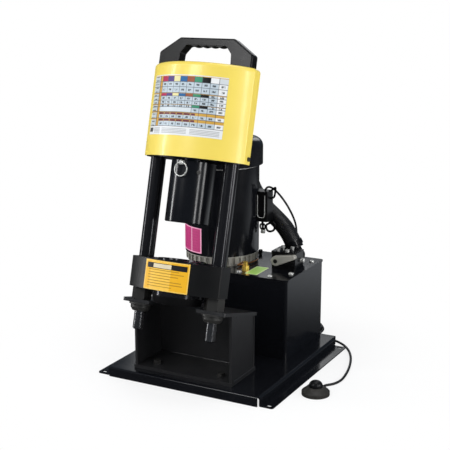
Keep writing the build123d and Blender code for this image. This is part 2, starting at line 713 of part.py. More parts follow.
def piston_seal():
    base = (PISTON_BOTTOM + PISTON_TOP - SEAL_WIDTH) / 2
    return PRESS * tube(BARREL_BORE_R - SEAL_CLEARANCE, BARREL_BORE_R - SEAL_DEPTH, base, base + SEAL_WIDTH)


def pusher_set_screw():
    screw = set_screw_bar(SET_SCREW_R - 1, PUSHER_R - SET_SCREW_DEPTH, PUSHER_R)
    screw += set_screw_bar(SET_SCREW_R, PUSHER_R, PUSHER_R + SET_SCREW_HEAD)
    return PRESS * screw


def retaining_pin():
    """Cross pin through pusher and ram stud, with an eye in its ball head."""
    head = PIN_STAND_OFF + PUSHER_R + PIN_BALL_R
    section = Polyline(
        (0, head), (PIN_BALL_R - 2, head), (PIN_BALL_R, head - 2), (PIN_BALL_R, head - 2 * PIN_BALL_R),
        (PIN_R, head - 2 * PIN_BALL_R - 1), (PIN_R, PUSHER_R - PIN_DEPTH + 1), (0, PUSHER_R - PIN_DEPTH + 1), close=True,
    )
    pin = Pos(0, 0, PIN_HEIGHT) * Rot(90, 0, 0) * revolve(Plane.XZ * make_face(section), Axis.Z)
    pin -= bar_x(PIN_EYE_R, -PIN_BALL_R - 1, PIN_BALL_R + 1, PIN_N, PIN_HEIGHT)
    return PRESS * pin


def pull_ring():
    ring = Pos(0, PIN_N, PIN_HEIGHT - RING_R) * Rot(90, 0, 0) * Torus(RING_R, RING_WIRE_R)
    return PRESS * ring


def cover_solid(inset, bottom, back):
    """Cover's outer or inner form: curved front, short sides, rounded top edge."""
    half = COVER_HALF - inset
    top = COVER_TOP - inset
    front = ThreePointArc((-half, COVER_CORNER_FRONT), (0, COVER_MID_FRONT + inset), (half, COVER_CORNER_FRONT))
    sides = Polyline((half, COVER_CORNER_FRONT), (half, back), (-half, back), (-half, COVER_CORNER_FRONT))
    form = plate(front + sides, bottom, top)
    corners = [e for e in upright_edges(form) if e.center().Y < COVER_CORNER_FRONT + 1]
    form = fillet(corners, COVER_CORNER - inset)
    crest = [e for e in form.edges() if e.center().Z > top - 0.01 and e.center().Y < back - 1]
    return fillet(crest, COVER_TOP_BEND - inset)


def front_cover():
    shell = cover_solid(0, COVER_BOTTOM, COVER_BACK)
    shell -= cover_solid(COVER_SHEET, COVER_BOTTOM - 1, COVER_BACK + 4 * COVER_SHEET)
    for x in (-HANDLE_SCREW_HALF, HANDLE_SCREW_HALF):
        shell -= post(HANDLE_SCREW_R + FIT, COVER_TOP - 2 * COVER_SHEET, COVER_TOP + 1, x, HANDLE_MID)
    for side in (-1, 1):
        shell -= cover_screw_shank(side)
    return PRESS * shell


def cover_screw_height():
    return HEAD_BOTTOM + HEAD_THICK / 2 + COVER_SHEET


def cover_screw_shank(side):
    inner = HEAD_HALF - COVER_SCREW_DEPTH
    ends = sorted((side * inner, side * (COVER_HALF + 1)))
    return bar_x(COVER_SCREW_R + FIT, ends[0], ends[1], COVER_SCREW_N, cover_screw_height())


def cover_screws():
    """Side screws of the cover, each through a spacer into the head plate."""
    pieces = []
    z = cover_screw_height()
    n = COVER_SCREW_N
    for side in (-1, 1):
        inner = side * (HEAD_HALF - COVER_SCREW_DEPTH)
        skin = side * COVER_HALF
        x0, x1 = sorted((inner, skin))
        h0, h1 = sorted((skin, skin + side * COVER_SCREW_HEAD))
        pieces.append(bar_x(COVER_SCREW_R, x0, x1, n, z) + bar_x(COVER_SCREW_HEAD_R, h0, h1, n, z))
        s0, s1 = sorted((side * HEAD_HALF, side * (COVER_HALF - COVER_SHEET)))
        pieces.append(bar_x(COVER_SPACER_R, s0, s1, n, z) - bar_x(COVER_SCREW_R + FIT, s0 - 1, s1 + 1, n, z))
    return group([PRESS * piece for piece in pieces])


def carry_handle():
    """Moulded arch with eight-sided outline and ripples under the grip."""
    base = COVER_TOP
    inner_half = HANDLE_HALF - HANDLE_FOOT
    top = base + HANDLE_HEIGHT
    under = top - HANDLE_GRIP
    outer = make_face(
        Polyline(
            (-HANDLE_HALF, base), (-HANDLE_HALF, base + HANDLE_SHOULDER), (-HANDLE_TOP_HALF, top),
            (HANDLE_TOP_HALF, top), (HANDLE_HALF, base + HANDLE_SHOULDER), (HANDLE_HALF, base), close=True,
        )
    )
    gap = make_face(
        Polyline(
            (-inner_half, base - 1), (-inner_half + 2, base + HANDLE_SHOULDER), (-HANDLE_INNER_HALF, under),
            (HANDLE_INNER_HALF, under), (inner_half - 2, base + HANDLE_SHOULDER), (inner_half, base - 1), close=True,
        )
    )
    outer = fillet([v for v in outer.vertices() if v.Y > base + 1], HANDLE_EDGE * 2)
    gap = fillet([v for v in gap.vertices() if v.Y > base + 1], HANDLE_EDGE * 2)
    n0 = HANDLE_MID - HANDLE_DEPTH / 2
    handle = Pos(0, n0, 0) * extrude(Plane.XZ * outer, -HANDLE_DEPTH)
    rim = [
        e for e in handle.edges() if e.center().Z > base + 1 and abs(abs(e.center().Y - HANDLE_MID) - HANDLE_DEPTH / 2) < 0.01
    ]
    handle = fillet(rim, HANDLE_EDGE)
    handle -= Pos(0, n0 - 1, 0) * extrude(Plane.XZ * gap, -(HANDLE_DEPTH + 2))
    pitch = 2 * (HANDLE_INNER_HALF - HANDLE_EDGE * 2) / RIPPLES
    for k in range(RIPPLES):
        x = (k - (RIPPLES - 1) / 2) * pitch
        bump_r = (pitch * pitch / 4 + RIPPLE_DEPTH * RIPPLE_DEPTH) / (2 * RIPPLE_DEPTH)
        bump = bar_y(bump_r, n0 + HANDLE_EDGE / 2, n0 + HANDLE_DEPTH - HANDLE_EDGE / 2, x, under + bump_r - RIPPLE_DEPTH)
        handle += bump & box(x - pitch / 2, x + pitch / 2, n0, n0 + HANDLE_DEPTH, under - RIPPLE_DEPTH - 1, under + 1)
    for x in (-HANDLE_SCREW_HALF, HANDLE_SCREW_HALF):
        handle -= post(HANDLE_SCREW_R + FIT, base - 1, base + HANDLE_SCREW_IN, x, HANDLE_MID)
    return PRESS * handle


def handle_screws():
    pieces = []
    for x in (-HANDLE_SCREW_HALF, HANDLE_SCREW_HALF):
        screw = post(HANDLE_SCREW_R, CAP_TOP, COVER_TOP + HANDLE_SCREW_IN, x, HANDLE_MID)
        screw += post(HANDLE_SCREW_HEAD_R, CAP_TOP - HANDLE_SCREW_HEAD, CAP_TOP, x, HANDLE_MID)
        pieces.append(PRESS * screw)
    return group(pieces)


def reservoir_tank():
    shell = box(TANK_LEFT, TANK_RIGHT, TANK_FRONT, TANK_BACK, TRAY_HEIGHT, TANK_TOP)
    shell = fillet(upright_edges(shell), TANK_CORNER)
    inside = box(TANK_LEFT + TANK_WALL, TANK_RIGHT - TANK_WALL, TANK_FRONT + TANK_WALL, TANK_BACK - TANK_WALL,
                 TRAY_HEIGHT + TANK_WALL, TANK_TOP - TANK_WALL)
    inside = fillet(upright_edges(inside), TANK_CORNER - TANK_WALL)
    mouth = box(TANK_LEFT + TANK_FLANGE, TANK_RIGHT - TANK_FLANGE, TANK_FRONT + TANK_FLANGE, TANK_BACK - TANK_FLANGE,
                TANK_TOP - 2 * TANK_WALL, TANK_TOP + 1)
    mouth = fillet(upright_edges(mouth), TANK_CORNER)
    shell = shell - inside - mouth
    for x, y in lid_screw_places():
        shell -= post(LID_SCREW_R + FIT, TANK_TOP - 2 * TANK_WALL, TANK_TOP + 1, x, y)
    for x, y in tank_bolt_places():
        shell += post(WASHER_R, TRAY_HEIGHT + 1, TRAY_HEIGHT + TANK_WALL + BOLT_HEAD, x, y)
        shell -= post(BOLT_R + FIT, TRAY_HEIGHT - 1, TRAY_HEIGHT + TANK_WALL + BOLT_HEAD + 1, x, y)
    return shell


def lid_screw_places():
    left = TANK_LEFT + LID_SCREW_INSET
    right = TANK_RIGHT - LID_SCREW_INSET
    places = [(right, y) for y in LID_SCREW_RIGHT_YS]
    places += [(x, TANK_FRONT + LID_SCREW_INSET) for x in (left,) + LID_SCREW_FRONT_XS]
    places += [(x, TANK_BACK - LID_SCREW_INSET) for x in (left,) + LID_SCREW_BACK_XS]
    return places


def tank_bolts():
    underside = TRAY_HEIGHT - SHEET
    pieces = []
    for x, y in tank_bolt_places():
        pieces.append(hexagon(BOLT_AF, underside - BOLT_HEAD, underside, x, y)
                      + post(BOLT_R, underside, TRAY_HEIGHT + TANK_WALL + BOLT_HEAD, x, y))
    return group(pieces)


def lid_sheet(margin, z0, z1):
    sheet = box(TANK_LEFT - margin, TANK_RIGHT + margin, TANK_FRONT - margin, TANK_BACK + margin, z0, z1)
    return fillet(upright_edges(sheet), TANK_CORNER + margin)


def lid_gasket():
    ring = lid_sheet(0, TANK_TOP, LID_BOTTOM)
    window = box(TANK_LEFT + TANK_FLANGE, TANK_RIGHT - TANK_FLANGE, TANK_FRONT + TANK_FLANGE, TANK_BACK - TANK_FLANGE,
                 TANK_TOP - 1, LID_BOTTOM + 1)
    ring -= fillet(upright_edges(window), TANK_CORNER)
    for x, y in lid_screw_places():
        ring -= post(LID_SCREW_R + FIT, TANK_TOP - 1, LID_BOTTOM + 1, x, y)
    return ring


def reservoir_lid():
    lid = lid_sheet(LID_OVERHANG, LID_BOTTOM, LID_TOP)
    for x, y in lid_screw_places():
        lid -= post(LID_SCREW_R + FIT, LID_BOTTOM - 1, LID_TOP + 1, x, y)
    lid -= post(COUPLING_R + 6, LID_BOTTOM - 1, LID_TOP + 1, MOTOR_X, MOTOR_Y)
    lid -= post(FILLER_NECK_R + HOLE_CLEARANCE, LID_BOTTOM - 1, LID_TOP + 1, FILLER_X, FILLER_Y)
    return lid


def lid_screws():
    pieces = []
    for x, y in lid_screw_places():
        head = post(LID_SCREW_HEAD_R, LID_TOP, LID_TOP + LID_SCREW_HEAD, x, y)
        head = fillet(head.edges().group_by(Axis.Z)[-1], LID_SCREW_HEAD / 2)
        pieces.append(head + post(LID_SCREW_R, LID_TOP - LID - LID_SCREW_DROP, LID_TOP, x, y))
    return group(pieces)


def filler_cap():
    """Breather cap with grip lobes, its neck and dipstick through the lid."""
    cap = post(FILLER_R, LID_TOP, LID_TOP + FILLER_HEIGHT)
    cap = fillet(cap.edges().group_by(Axis.Z)[-1], 2)
    for k in range(8):
        turn = k * pi / 4
        cap -= post(2.5, LID_TOP + 2, LID_TOP + FILLER_HEIGHT + 1,
                    (FILLER_R + 1) * cos(turn), (FILLER_R + 1) * sin(turn))
    cap += post(FILLER_NECK_R, LID_BOTTOM - 6, LID_TOP)
    cap += post(DIPSTICK_R, LID_BOTTOM - DIPSTICK_LENGTH, LID_BOTTOM)
    return Pos(FILLER_X, FILLER_Y, 0) * cap


def at_motor(part):
    return Pos(MOTOR_X, MOTOR_Y, 0) * part


def motor_adapter():
    """Cast ring between lid and motor, with a row of upright cooling ribs round it."""
    ring = tube(ADAPTER_R, ADAPTER_R - ADAPTER_WALL, LID_TOP, ADAPTER_TOP)
    ring += tube(ADAPTER_R, COUPLING_R + 6, LID_TOP, LID_TOP + ADAPTER_FLOOR)
    rib = box(ADAPTER_R - 1, ADAPTER_R + FIN_OUT, -FIN_THICK / 2, FIN_THICK / 2, LID_TOP + ADAPTER_FLOOR, ADAPTER_TOP - 2)
    ribs = [Rot(0, 0, k * 360 / FIN_COUNT) * rib for k in range(FIN_COUNT)]
    ring = ring + ribs
    ring += tube(ADAPTER_R + FIN_OUT, ADAPTER_R - ADAPTER_WALL, ADAPTER_TOP - 4, ADAPTER_TOP)
    return at_motor(ring)


def motor_frame():
    """Rolled shell with an end plate at each end that carries a bearing."""
    frame = post(MOTOR_R, ADAPTER_TOP, MOTOR_TOP)
    frame -= post(MOTOR_R - MOTOR_WALL, ADAPTER_TOP + MOTOR_END, MOTOR_TOP - MOTOR_END)
    frame -= post(SHAFT_R + 3, ADAPTER_TOP - 1, MOTOR_TOP + 1)
    for z0, z1 in bearing_spans():
        frame += tube(BEARING_R + 5, BEARING_R, z0, z1)
    frame -= box(MOTOR_R - 1, MOTOR_R + 1, -1, 1, ADAPTER_TOP, ADAPTER_TOP + 1)
    return at_motor(frame)


def bearing_spans():
    low = ADAPTER_TOP + MOTOR_END
    high = MOTOR_TOP - MOTOR_END
    return ((low, low + BEARING_WIDTH), (high - BEARING_WIDTH, high))


def motor_bearings():
    pieces = []
    for z0, z1 in bearing_spans():
        pieces.append(at_motor(tube(BEARING_R - FIT, SHAFT_R + FIT, z0, z1)))
    return group(pieces)


def motor_stator():
    base = ROTOR_BASE + (ROTOR_HEIGHT - STATOR_HEIGHT) / 2
    core = tube(MOTOR_R - MOTOR_WALL - FIT, STATOR_BORE_R, base, base + STATOR_HEIGHT)
    for z0, z1 in ((base - WINDING_OUT, base), (base + STATOR_HEIGHT, base + STATOR_HEIGHT + WINDING_OUT)):
        core += tube(STATOR_R - WINDING_IN_OUTER, STATOR_BORE_R + WINDING_IN_INNER, z0, z1)
    return at_motor(core)


def motor_rotor():
    rotor = post(SHAFT_R, SHAFT_BOTTOM, FAN_BASE + FAN_HEIGHT)
    rotor += post(ROTOR_R, ROTOR_BASE, ROTOR_BASE + ROTOR_HEIGHT)
    return at_motor(rotor)


def motor_fan():
    fan = tube(FAN_R, SHAFT_R, FAN_BASE, FAN_BASE + FAN_DISC)
    fan += tube(SHAFT_R + 8, SHAFT_R, FAN_BASE, FAN_BASE + FAN_HEIGHT)
    blade = box(SHAFT_R + 6, FAN_R - 2, -1.5, 1.5, FAN_BASE + 2, FAN_BASE + FAN_HEIGHT - 2)
    fan = fan + [Rot(0, 0, k * 360 / FAN_BLADES) * blade for k in range(FAN_BLADES)]
    return at_motor(fan)


def motor_trim():
    return at_motor(tube(MOTOR_R + TRIM_OUT, MOTOR_R, MOTOR_TOP - FAN_COVER_LAP - TRIM_HEIGHT, MOTOR_TOP - FAN_COVER_LAP))


def fan_cover():
    base = MOTOR_TOP - FAN_COVER_LAP
    outer = post(FAN_COVER_R, base, FAN_COVER_TOP)
    outer = fillet(outer.edges().group_by(Axis.Z)[-1], FAN_COVER_DOME)
    inner = post(FAN_COVER_R - FAN_COVER_WALL, base - 1, FAN_COVER_TOP - FAN_COVER_WALL)
    inner = fillet(inner.edges().group_by(Axis.Z)[-1], FAN_COVER_DOME - FAN_COVER_WALL)
    cover = outer - inner
    cover += tube(FAN_COVER_R - 1, MOTOR_R, base, base + FAN_COVER_WALL)
    slot = box(FAN_SLOT_INNER, FAN_COVER_R - FAN_COVER_DOME - FAN_SLOT_RIM, -FAN_SLOT / 2, FAN_SLOT / 2,
               FAN_COVER_TOP - 2 * FAN_COVER_WALL, FAN_COVER_TOP + 1)
    for k in range(FAN_SLOTS):
        cover -= Rot(0, 0, (k + 0.5) * 360 / FAN_SLOTS) * slot
    return at_motor(cover)


def pump_coupling():
    top = LID_TOP + ADAPTER_FLOOR
    sleeve = tube(COUPLING_R, SHAFT_R, top - COUPLING_HEIGHT, top)
    return at_motor(sleeve)


def pump_body():
    """Gear pump hanging under the lid, with its spigot round the coupling."""
    body = post(PUMP_R, LID_BOTTOM - PUMP_HEIGHT, LID_BOTTOM)
    body -= post(COUPLING_R + 3, LID_TOP + ADAPTER_FLOOR - COUPLING_HEIGHT - 3, LID_BOTTOM + 1)
    arm_z = LID_BOTTOM - PUMP_HEIGHT + 14
    body += bar_x(9, 0, STRAINER_OFFSET, 0, arm_z)
    body += post(9, arm_z - 18, arm_z, STRAINER_OFFSET)
    return at_motor(body)


def suction_strainer():
    top = LID_BOTTOM - PUMP_HEIGHT + 14 - 18
    strainer = post(STRAINER_R, top - STRAINER_HEIGHT, top, STRAINER_OFFSET)
    strainer = fillet(strainer.edges().filter_by(GeomType.CIRCLE), 3)
    return at_motor(strainer)


def valve_box(x_half, y0, y1, z0, z1):
    return box(VALVE_X - x_half, VALVE_X + x_half, y0, y1, z0, z1)


def valve_screw_places():
    return [(VALVE_X + x, VALVE_FRONT + y) for x in VALVE_SCREW_COLUMNS for y in VALVE_SCREW_ROWS]


def valve_block():
    block = valve_box(VALVE_WIDTH / 2, VALVE_FRONT, VALVE_FRONT + VALVE_DEPTH, LID_TOP, VALVE_TOP)
    block = fillet(upright_edges(block), VALVE_EDGE)
    block -= bar_y(SPINDLE_R + FIT, VALVE_FRONT - 1, VALVE_FRONT + SPINDLE_DEPTH, LEVER_X, LID_TOP + LEVER_HEIGHT)
    for x, y in valve_screw_places():
        block -= post(VALVE_SCREW_R + FIT, VALVE_TOP - VALVE_SCREW_IN - 1, VALVE_TOP + 1, x, y)
    return block


def valve_plate():
    over = VALVE_PLATE_OVER
    top = valve_box(VALVE_WIDTH / 2 + over, VALVE_FRONT - over, VALVE_FRONT + VALVE_DEPTH + over,
                    VALVE_TOP, VALVE_TOP + VALVE_PLATE)
    top = fillet(upright_edges(top), VALVE_EDGE * 2)
    top = chamfer(top.edges().group_by(Axis.Z)[-1], 1)
    for x, y in valve_screw_places():
        top -= post(VALVE_SCREW_R + FIT, VALVE_TOP - 1, VALVE_TOP + VALVE_PLATE + 1, x, y)
    return top


def valve_screws():
    top = VALVE_TOP + VALVE_PLATE
    pieces = []
    for x, y in valve_screw_places():
        screw = post(VALVE_SCREW_HEAD_R, top, top + VALVE_SCREW_HEAD, x, y)
        screw -= hexagon(VALVE_SCREW_HEAD_R, top + VALVE_SCREW_HEAD / 2, top + VALVE_SCREW_HEAD + 1, x, y)
        pieces.append(screw + post(VALVE_SCREW_R, VALVE_TOP - VALVE_SCREW_IN, top, x, y))
    return group(pieces)


def valve_spindle():
    z = LID_TOP + LEVER_HEIGHT
    return bar_y(SPINDLE_R, VALVE_FRONT - LEVER_GAP - LEVER_THICK + 3, VALVE_FRONT + SPINDLE_DEPTH - 1, LEVER_X, z)


def valve_lever():
    """Die-cast lever: round hub on the spindle, tapering to a small round tip."""
    tip = (LEVER_LENGTH, LEVER_RISE)
    hub = Circle(LEVER_HUB_R)
    end = Pos(*tip) * Circle(LEVER_TIP_R)
    arm = make_hull(hub.edges() + end.edges())
    y1 = VALVE_FRONT - LEVER_GAP
    lever = Pos(LEVER_X, y1, LID_TOP + LEVER_HEIGHT) * extrude(Plane.XZ * arm, LEVER_THICK)
    lever = chamfer(lever.edges().group_by(Axis.Y)[0], 1.5)
    lever -= bar_y(SPINDLE_R, y1 - LEVER_THICK + 3, y1 + 1, LEVER_X, LID_TOP + LEVER_HEIGHT)
    return lever


def elbow_corner():
    return Vector(PORT_X, VALVE_FRONT + VALVE_DEPTH + ELBOW_REACH, LID_TOP + PORT_HEIGHT)


def hose_lean():
    return Vector(-sin(radians(SOCKET_LEAN)), 0, cos(radians(SOCKET_LEAN)))


def port_outward():
    return Vector(0, cos(radians(LEAN)), -sin(radians(LEAN)))


def port_seat():
    return (PRESS * Pos(0, BARREL_R + 4, HOSE_PORT_HEIGHT)).position


def hose_route():
    """Centre line from the valve up behind the motor and over to the cylinder."""
    start = elbow_corner() + hose_lean() * (ELBOW_BALL_R + 2 + SOCKET_LENGTH)
    end = port_seat() + port_outward() * (HOSE_PORT_REACH + SOCKET_LENGTH)
    bends = [Vector(MOTOR_X + x, MOTOR_Y + y, LID_TOP + z) for x, y, z in HOSE_BENDS]
    return [start, start + hose_lean() * HOSE_LEAD] + bends + [end + port_outward() * HOSE_END_LEAD, end]


def cylinder_along(r, start, direction, length):
    return Plane(origin=start, z_dir=direction) * Cylinder(r, length, align=LOW)


def socket_along(start, direction):
    """Crimped ferrule: turned collar at the fitting's end, then the pressed sleeve."""
    section = Polyline(
        (0, 0), (SOCKET_R - 3, 0), (SOCKET_R - 3, 5), (SOCKET_R, 7), (SOCKET_R, SOCKET_LENGTH - 2),
        (SOCKET_R - 1.5, SOCKET_LENGTH), (0, SOCKET_LENGTH), close=True,
    )
    return Plane(origin=start, z_dir=direction) * revolve(Plane.XZ * make_face(section), Axis.Z)


def hose_fittings():
    """Elbow and crimped socket at the valve, straight socket at the cylinder."""
    corner = elbow_corner()
    back = VALVE_FRONT + VALVE_DEPTH
    elbow = bar_y(ELBOW_R, back, corner.Y, corner.X, corner.Z) + Pos(*corner) * Sphere(ELBOW_BALL_R)
    elbow += cylinder_along(ELBOW_R, corner, hose_lean(), ELBOW_BALL_R + 2)
    elbow += socket_along(corner + hose_lean() * (ELBOW_BALL_R + 2), hose_lean())
    straight = cylinder_along(ELBOW_R, port_seat(), port_outward(), HOSE_PORT_REACH)
    straight += socket_along(port_seat() + port_outward() * HOSE_PORT_REACH, port_outward())
    return group([elbow, straight])


def corner_radii(points, share=0.45):
    """Largest bends that the runs on both sides of each corner allow."""
    radii = []
    for a, b, c in zip(points, points[1:], points[2:]):
        run_in, run_out = b - a, c - b
        turn = radians(run_in.get_angle(run_out))
        radii.append(share * min(run_in.length, run_out.length) / tan(turn / 2))
    return radii


def swept_tube(points, radius, name):
    radii = corner_radii(points)
    path = FilletPolyline(*points, radius=radii)
    section = Plane(origin=path @ 0, z_dir=path % 0) * Circle(radius)
    solid = sweep(section, path=path)
    area = pi * radius * radius
    print(name, "radii", [round(r, 1) for r in radii], "length", round(path.length, 1),
          "volume ratio", round(solid.volume / (area * path.length), 4))
    return solid


def pressure_hose():
    return swept_tube(hose_route(), HOSE_R, "pressure_hose")


def control_box_body():
    half_x, half_y = CONTROL_WIDTH / 2, CONTROL_DEPTH / 2
    top = CONTROL_BASE + CONTROL_HEIGHT
    body = box(CONTROL_X - half_x - 6, CONTROL_X + half_x, CONTROL_Y - half_y, CONTROL_Y + half_y, CONTROL_BASE, top)
    body = fillet([e for e in upright_edges(body) if e.center().X > CONTROL_X], CONTROL_EDGE)
    return body - post(MOTOR_R + FIT, CONTROL_BASE - 1, top + 1, MOTOR_X, MOTOR_Y)


def control_box_lid():
    half_y = CONTROL_DEPTH / 2
    x0 = CONTROL_X + CONTROL_WIDTH / 2
    lid = box(x0, x0 + CONTROL_LID, CONTROL_Y - half_y, CONTROL_Y + half_y, CONTROL_BASE, CONTROL_BASE + CONTROL_HEIGHT)
    return chamfer(lid.edges().group_by(Axis.X)[-1], 1)


def control_cable():
    """Thin lead from the control box over the hose and down behind it into the lid."""
    top = CONTROL_BASE + CONTROL_HEIGHT
    points = [Vector(CONTROL_X + x, CONTROL_Y + y, top + z) for x, y, z in LEAD_BENDS]
    foot = Vector(LEAD_END_X, TANK_BACK - LEAD_END_INSET, LID_TOP)
    points += [foot + Vector(0, 0, LEAD_RISE), foot]
    return swept_tube(points, CABLE_R, "control_cable")


def brass_fitting():
    body = hexagon(BRASS_AF, LID_TOP, LID_TOP + BRASS_HEIGHT, BRASS_X, BRASS_Y)
    body += post(BRASS_ELBOW_R, LID_TOP + BRASS_HEIGHT, LID_TOP + BRASS_HEIGHT + BRASS_RISE, BRASS_X, BRASS_Y)
    return body


def cord_gland():
    face = TRAY_DEPTH
    gland = bar_y(GLAND_R, face - SHEET - 4, face, GLAND_X, GLAND_HEIGHT)
    gland += bar_y(GLAND_R + 2.5, face, face + GLAND_NUT, GLAND_X, GLAND_HEIGHT)
    nose = Pos(GLAND_X, face + GLAND_NUT, GLAND_HEIGHT) * Rot(-90, 0, 0) * Cone(
        GLAND_R, CORD_R + 1.5, GLAND_LENGTH - GLAND_NUT, align=LOW)
    return gland + nose


def coil_centre():
    """The coil lies behind the tray, with its left side on the gland's line."""
    return Vector(GLAND_X + COIL_MEAN_R + coil_half_width() + CORD_R + 0.2, TRAY_DEPTH + GLAND_LENGTH + COIL_BEHIND, 0)


def coil_half_width():
    return COIL_TURNS_WIDE * CORD_R + 0.5


def foot_cord_coil():
    centre = coil_centre()
    height = COIL_TURNS_HIGH * 2 * CORD_R + 0.5
    ring = tube(COIL_MEAN_R + coil_half_width(), COIL_MEAN_R - coil_half_width(), 0, height, centre.X, centre.Y)
    return fillet(ring.edges().filter_by(GeomType.CIRCLE), CORD_R)


def lead_route():
    """From the gland down to the floor and alongside the coil's left side."""
    y0 = TRAY_DEPTH + GLAND_LENGTH
    return [Vector(GLAND_X, y0, GLAND_HEIGHT)] + [Vector(GLAND_X + x, y0 + y, z) for x, y, z in LEAD_POINTS]


def cord_route():
    """From the coil round the tray's back corner to the foot switch, along the floor."""
    centre = coil_centre()
    z = CORD_R + 0.2
    side = Vector(centre.X + COIL_MEAN_R + coil_half_width() + z, centre.Y, z)
    end = Vector(SWITCH_X, SWITCH_Y + SWITCH_R, z)
    bends = [Vector(x, y, z) for x, y in CORD_BENDS]
    return [side, side - Vector(0, 19, 0)] + bends + [end + Vector(0, 18, 0), end]


def foot_switch_base():
    """Low round pod with a turned shoulder and a well for the press dome."""
    section = Polyline(
        (0, 0), (SWITCH_R, 0), (SWITCH_R, SWITCH_RIM + 3), (SWITCH_R - 2, SWITCH_RIM + 5),
        (SWITCH_SHOULDER_R, SWITCH_HEIGHT - 4), (DOME_R + 4, SWITCH_HEIGHT), (DOME_R + DOME_GAP, SWITCH_HEIGHT),
        (DOME_R + DOME_GAP, SWITCH_HEIGHT - DOME_SKIRT - DOME_TRAVEL - 1),
        (0, SWITCH_HEIGHT - DOME_SKIRT - DOME_TRAVEL - 1), close=True,
    )
    pod = revolve(Plane.XZ * make_face(section), Axis.Z)
    pod = Pos(SWITCH_X, SWITCH_Y, 0) * pod
    flat = SWITCH_Y + SWITCH_R
    return pod + bar_y(CORD_R + 0.2, flat - 6, flat, SWITCH_X, CORD_R + 0.2)


def foot_switch_dome():
    base = SWITCH_HEIGHT - DOME_SKIRT
    crown = SWITCH_HEIGHT + DOME_HEIGHT
    dome = post(DOME_R, base, crown)
    dome = fillet(dome.edges().group_by(Axis.Z)[-1], DOME_HEIGHT - 2)
    return Pos(SWITCH_X, SWITCH_Y, 0) * dome


def build_all():
    parts = {
        "base_tray": base_tray(),
        "bench_stand": bench_stand(),
        "stand_bolts": stand_bolts(),
        "die_block": die_block(),
        "die_bowl": die_bowl(),
        "tie_rod_left": tie_rod(-1),
        "tie_rod_right": tie_rod(1),
        "rod_nuts_lower": rod_nuts_lower(),
        "rod_nuts_upper": rod_nuts_upper(),
        "flange_nuts": flange_nuts(),
        "cylinder_head": cylinder_head(),
        "ram_wiper": ram_wiper(),
        "cylinder_barrel": cylinder_barrel(),
        "cylinder_cap": cylinder_cap(),
        "top_bar": top_bar(),
        "pusher": pusher(),
        "ram": ram(),
        "piston_seal": piston_seal(),
        "pusher_set_screw": pusher_set_screw(),
        "retaining_pin": retaining_pin(),
        "pull_ring": pull_ring(),
        "front_cover": front_cover(),
        "cover_screws": cover_screws(),
        "carry_handle": carry_handle(),
        "handle_screws": handle_screws(),
        "reservoir_tank": reservoir_tank(),
        "tank_bolts": tank_bolts(),
        "lid_gasket": lid_gasket(),
        "reservoir_lid": reservoir_lid(),
        "lid_screws": lid_screws(),
        "filler_cap": filler_cap(),
        "motor_adapter": motor_adapter(),
        "motor_frame": motor_frame(),
        "motor_bearings": motor_bearings(),
        "motor_stator": motor_stator(),
        "motor_rotor": motor_rotor(),
        "motor_fan": motor_fan(),
        "motor_trim": motor_trim(),
        "fan_cover": fan_cover(),
        "pump_coupling": pump_coupling(),
        "pump_body": pump_body(),
        "suction_strainer": suction_strainer(),
        "valve_block": valve_block(),
        "valve_plate": valve_plate(),
        "valve_screws": valve_screws(),
        "valve_spindle": valve_spindle(),
        "valve_lever": valve_lever(),
        "hose_fittings": hose_fittings(),
        "pressure_hose": pressure_hose(),
        "control_box": control_box_body(),
        "control_box_lid": control_box_lid(),
        "control_cable": control_cable(),
        "brass_fitting": brass_fitting(),
        "cord_gland": cord_gland(),
        "foot_cord_lead": swept_tube(lead_route(), CORD_R, "foot_cord_lead"),
        "foot_cord_coil": foot_cord_coil(),
        "foot_cord": swept_tube(cord_route(), CORD_R, "foot_cord"),
        "foot_switch_base": foot_switch_base(),
        "foot_switch_dome": foot_switch_dome(),
    }
    return {name: TO_ORIGIN * part for name, part in parts.items()}


os.makedirs("parts", exist_ok=True)
for node_name, node_part in build_all().items():
    export_step(node_part, f"parts/{node_name}.step")
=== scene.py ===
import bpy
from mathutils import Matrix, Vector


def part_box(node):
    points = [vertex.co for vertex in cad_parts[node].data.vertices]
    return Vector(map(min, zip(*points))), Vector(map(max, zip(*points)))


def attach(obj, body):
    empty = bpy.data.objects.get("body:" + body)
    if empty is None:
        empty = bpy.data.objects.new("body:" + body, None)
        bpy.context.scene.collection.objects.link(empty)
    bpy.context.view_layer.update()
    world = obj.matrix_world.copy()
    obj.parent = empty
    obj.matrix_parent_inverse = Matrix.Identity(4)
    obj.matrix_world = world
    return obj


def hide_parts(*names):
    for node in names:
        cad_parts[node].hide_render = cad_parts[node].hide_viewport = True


bl_info = {
    "name": "Hose Crimping Machine",
    "version": (1, 0, 0),
    "blender": (4, 5, 0),
    "location": "View3D > Sidebar > Crimper",
    "description": "Finishes, hose, cords, printed plates and small fittings of a hose crimping machine",
    "category": "Object",
}

from math import atan2, cos, pi, radians, sin, sqrt, tau

import bmesh
import bpy
from bpy.props import FloatProperty, FloatVectorProperty, IntProperty, PointerProperty
from mathutils import Matrix, Vector

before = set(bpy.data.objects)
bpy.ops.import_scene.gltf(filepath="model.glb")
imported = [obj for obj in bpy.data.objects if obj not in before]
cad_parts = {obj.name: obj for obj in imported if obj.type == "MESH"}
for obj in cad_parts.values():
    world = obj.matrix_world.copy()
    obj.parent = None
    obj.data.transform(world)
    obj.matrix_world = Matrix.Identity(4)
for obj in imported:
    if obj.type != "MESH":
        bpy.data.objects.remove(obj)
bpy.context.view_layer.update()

MACHINE = "machine"
MM = 0.001

X, Y, Z = range(3)


def span(node, axis):
    """Low and high end of a CAD node along an axis, in millimetres read to the hundredth."""
    return [round(corner[axis] / MM, 2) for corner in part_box(node)]


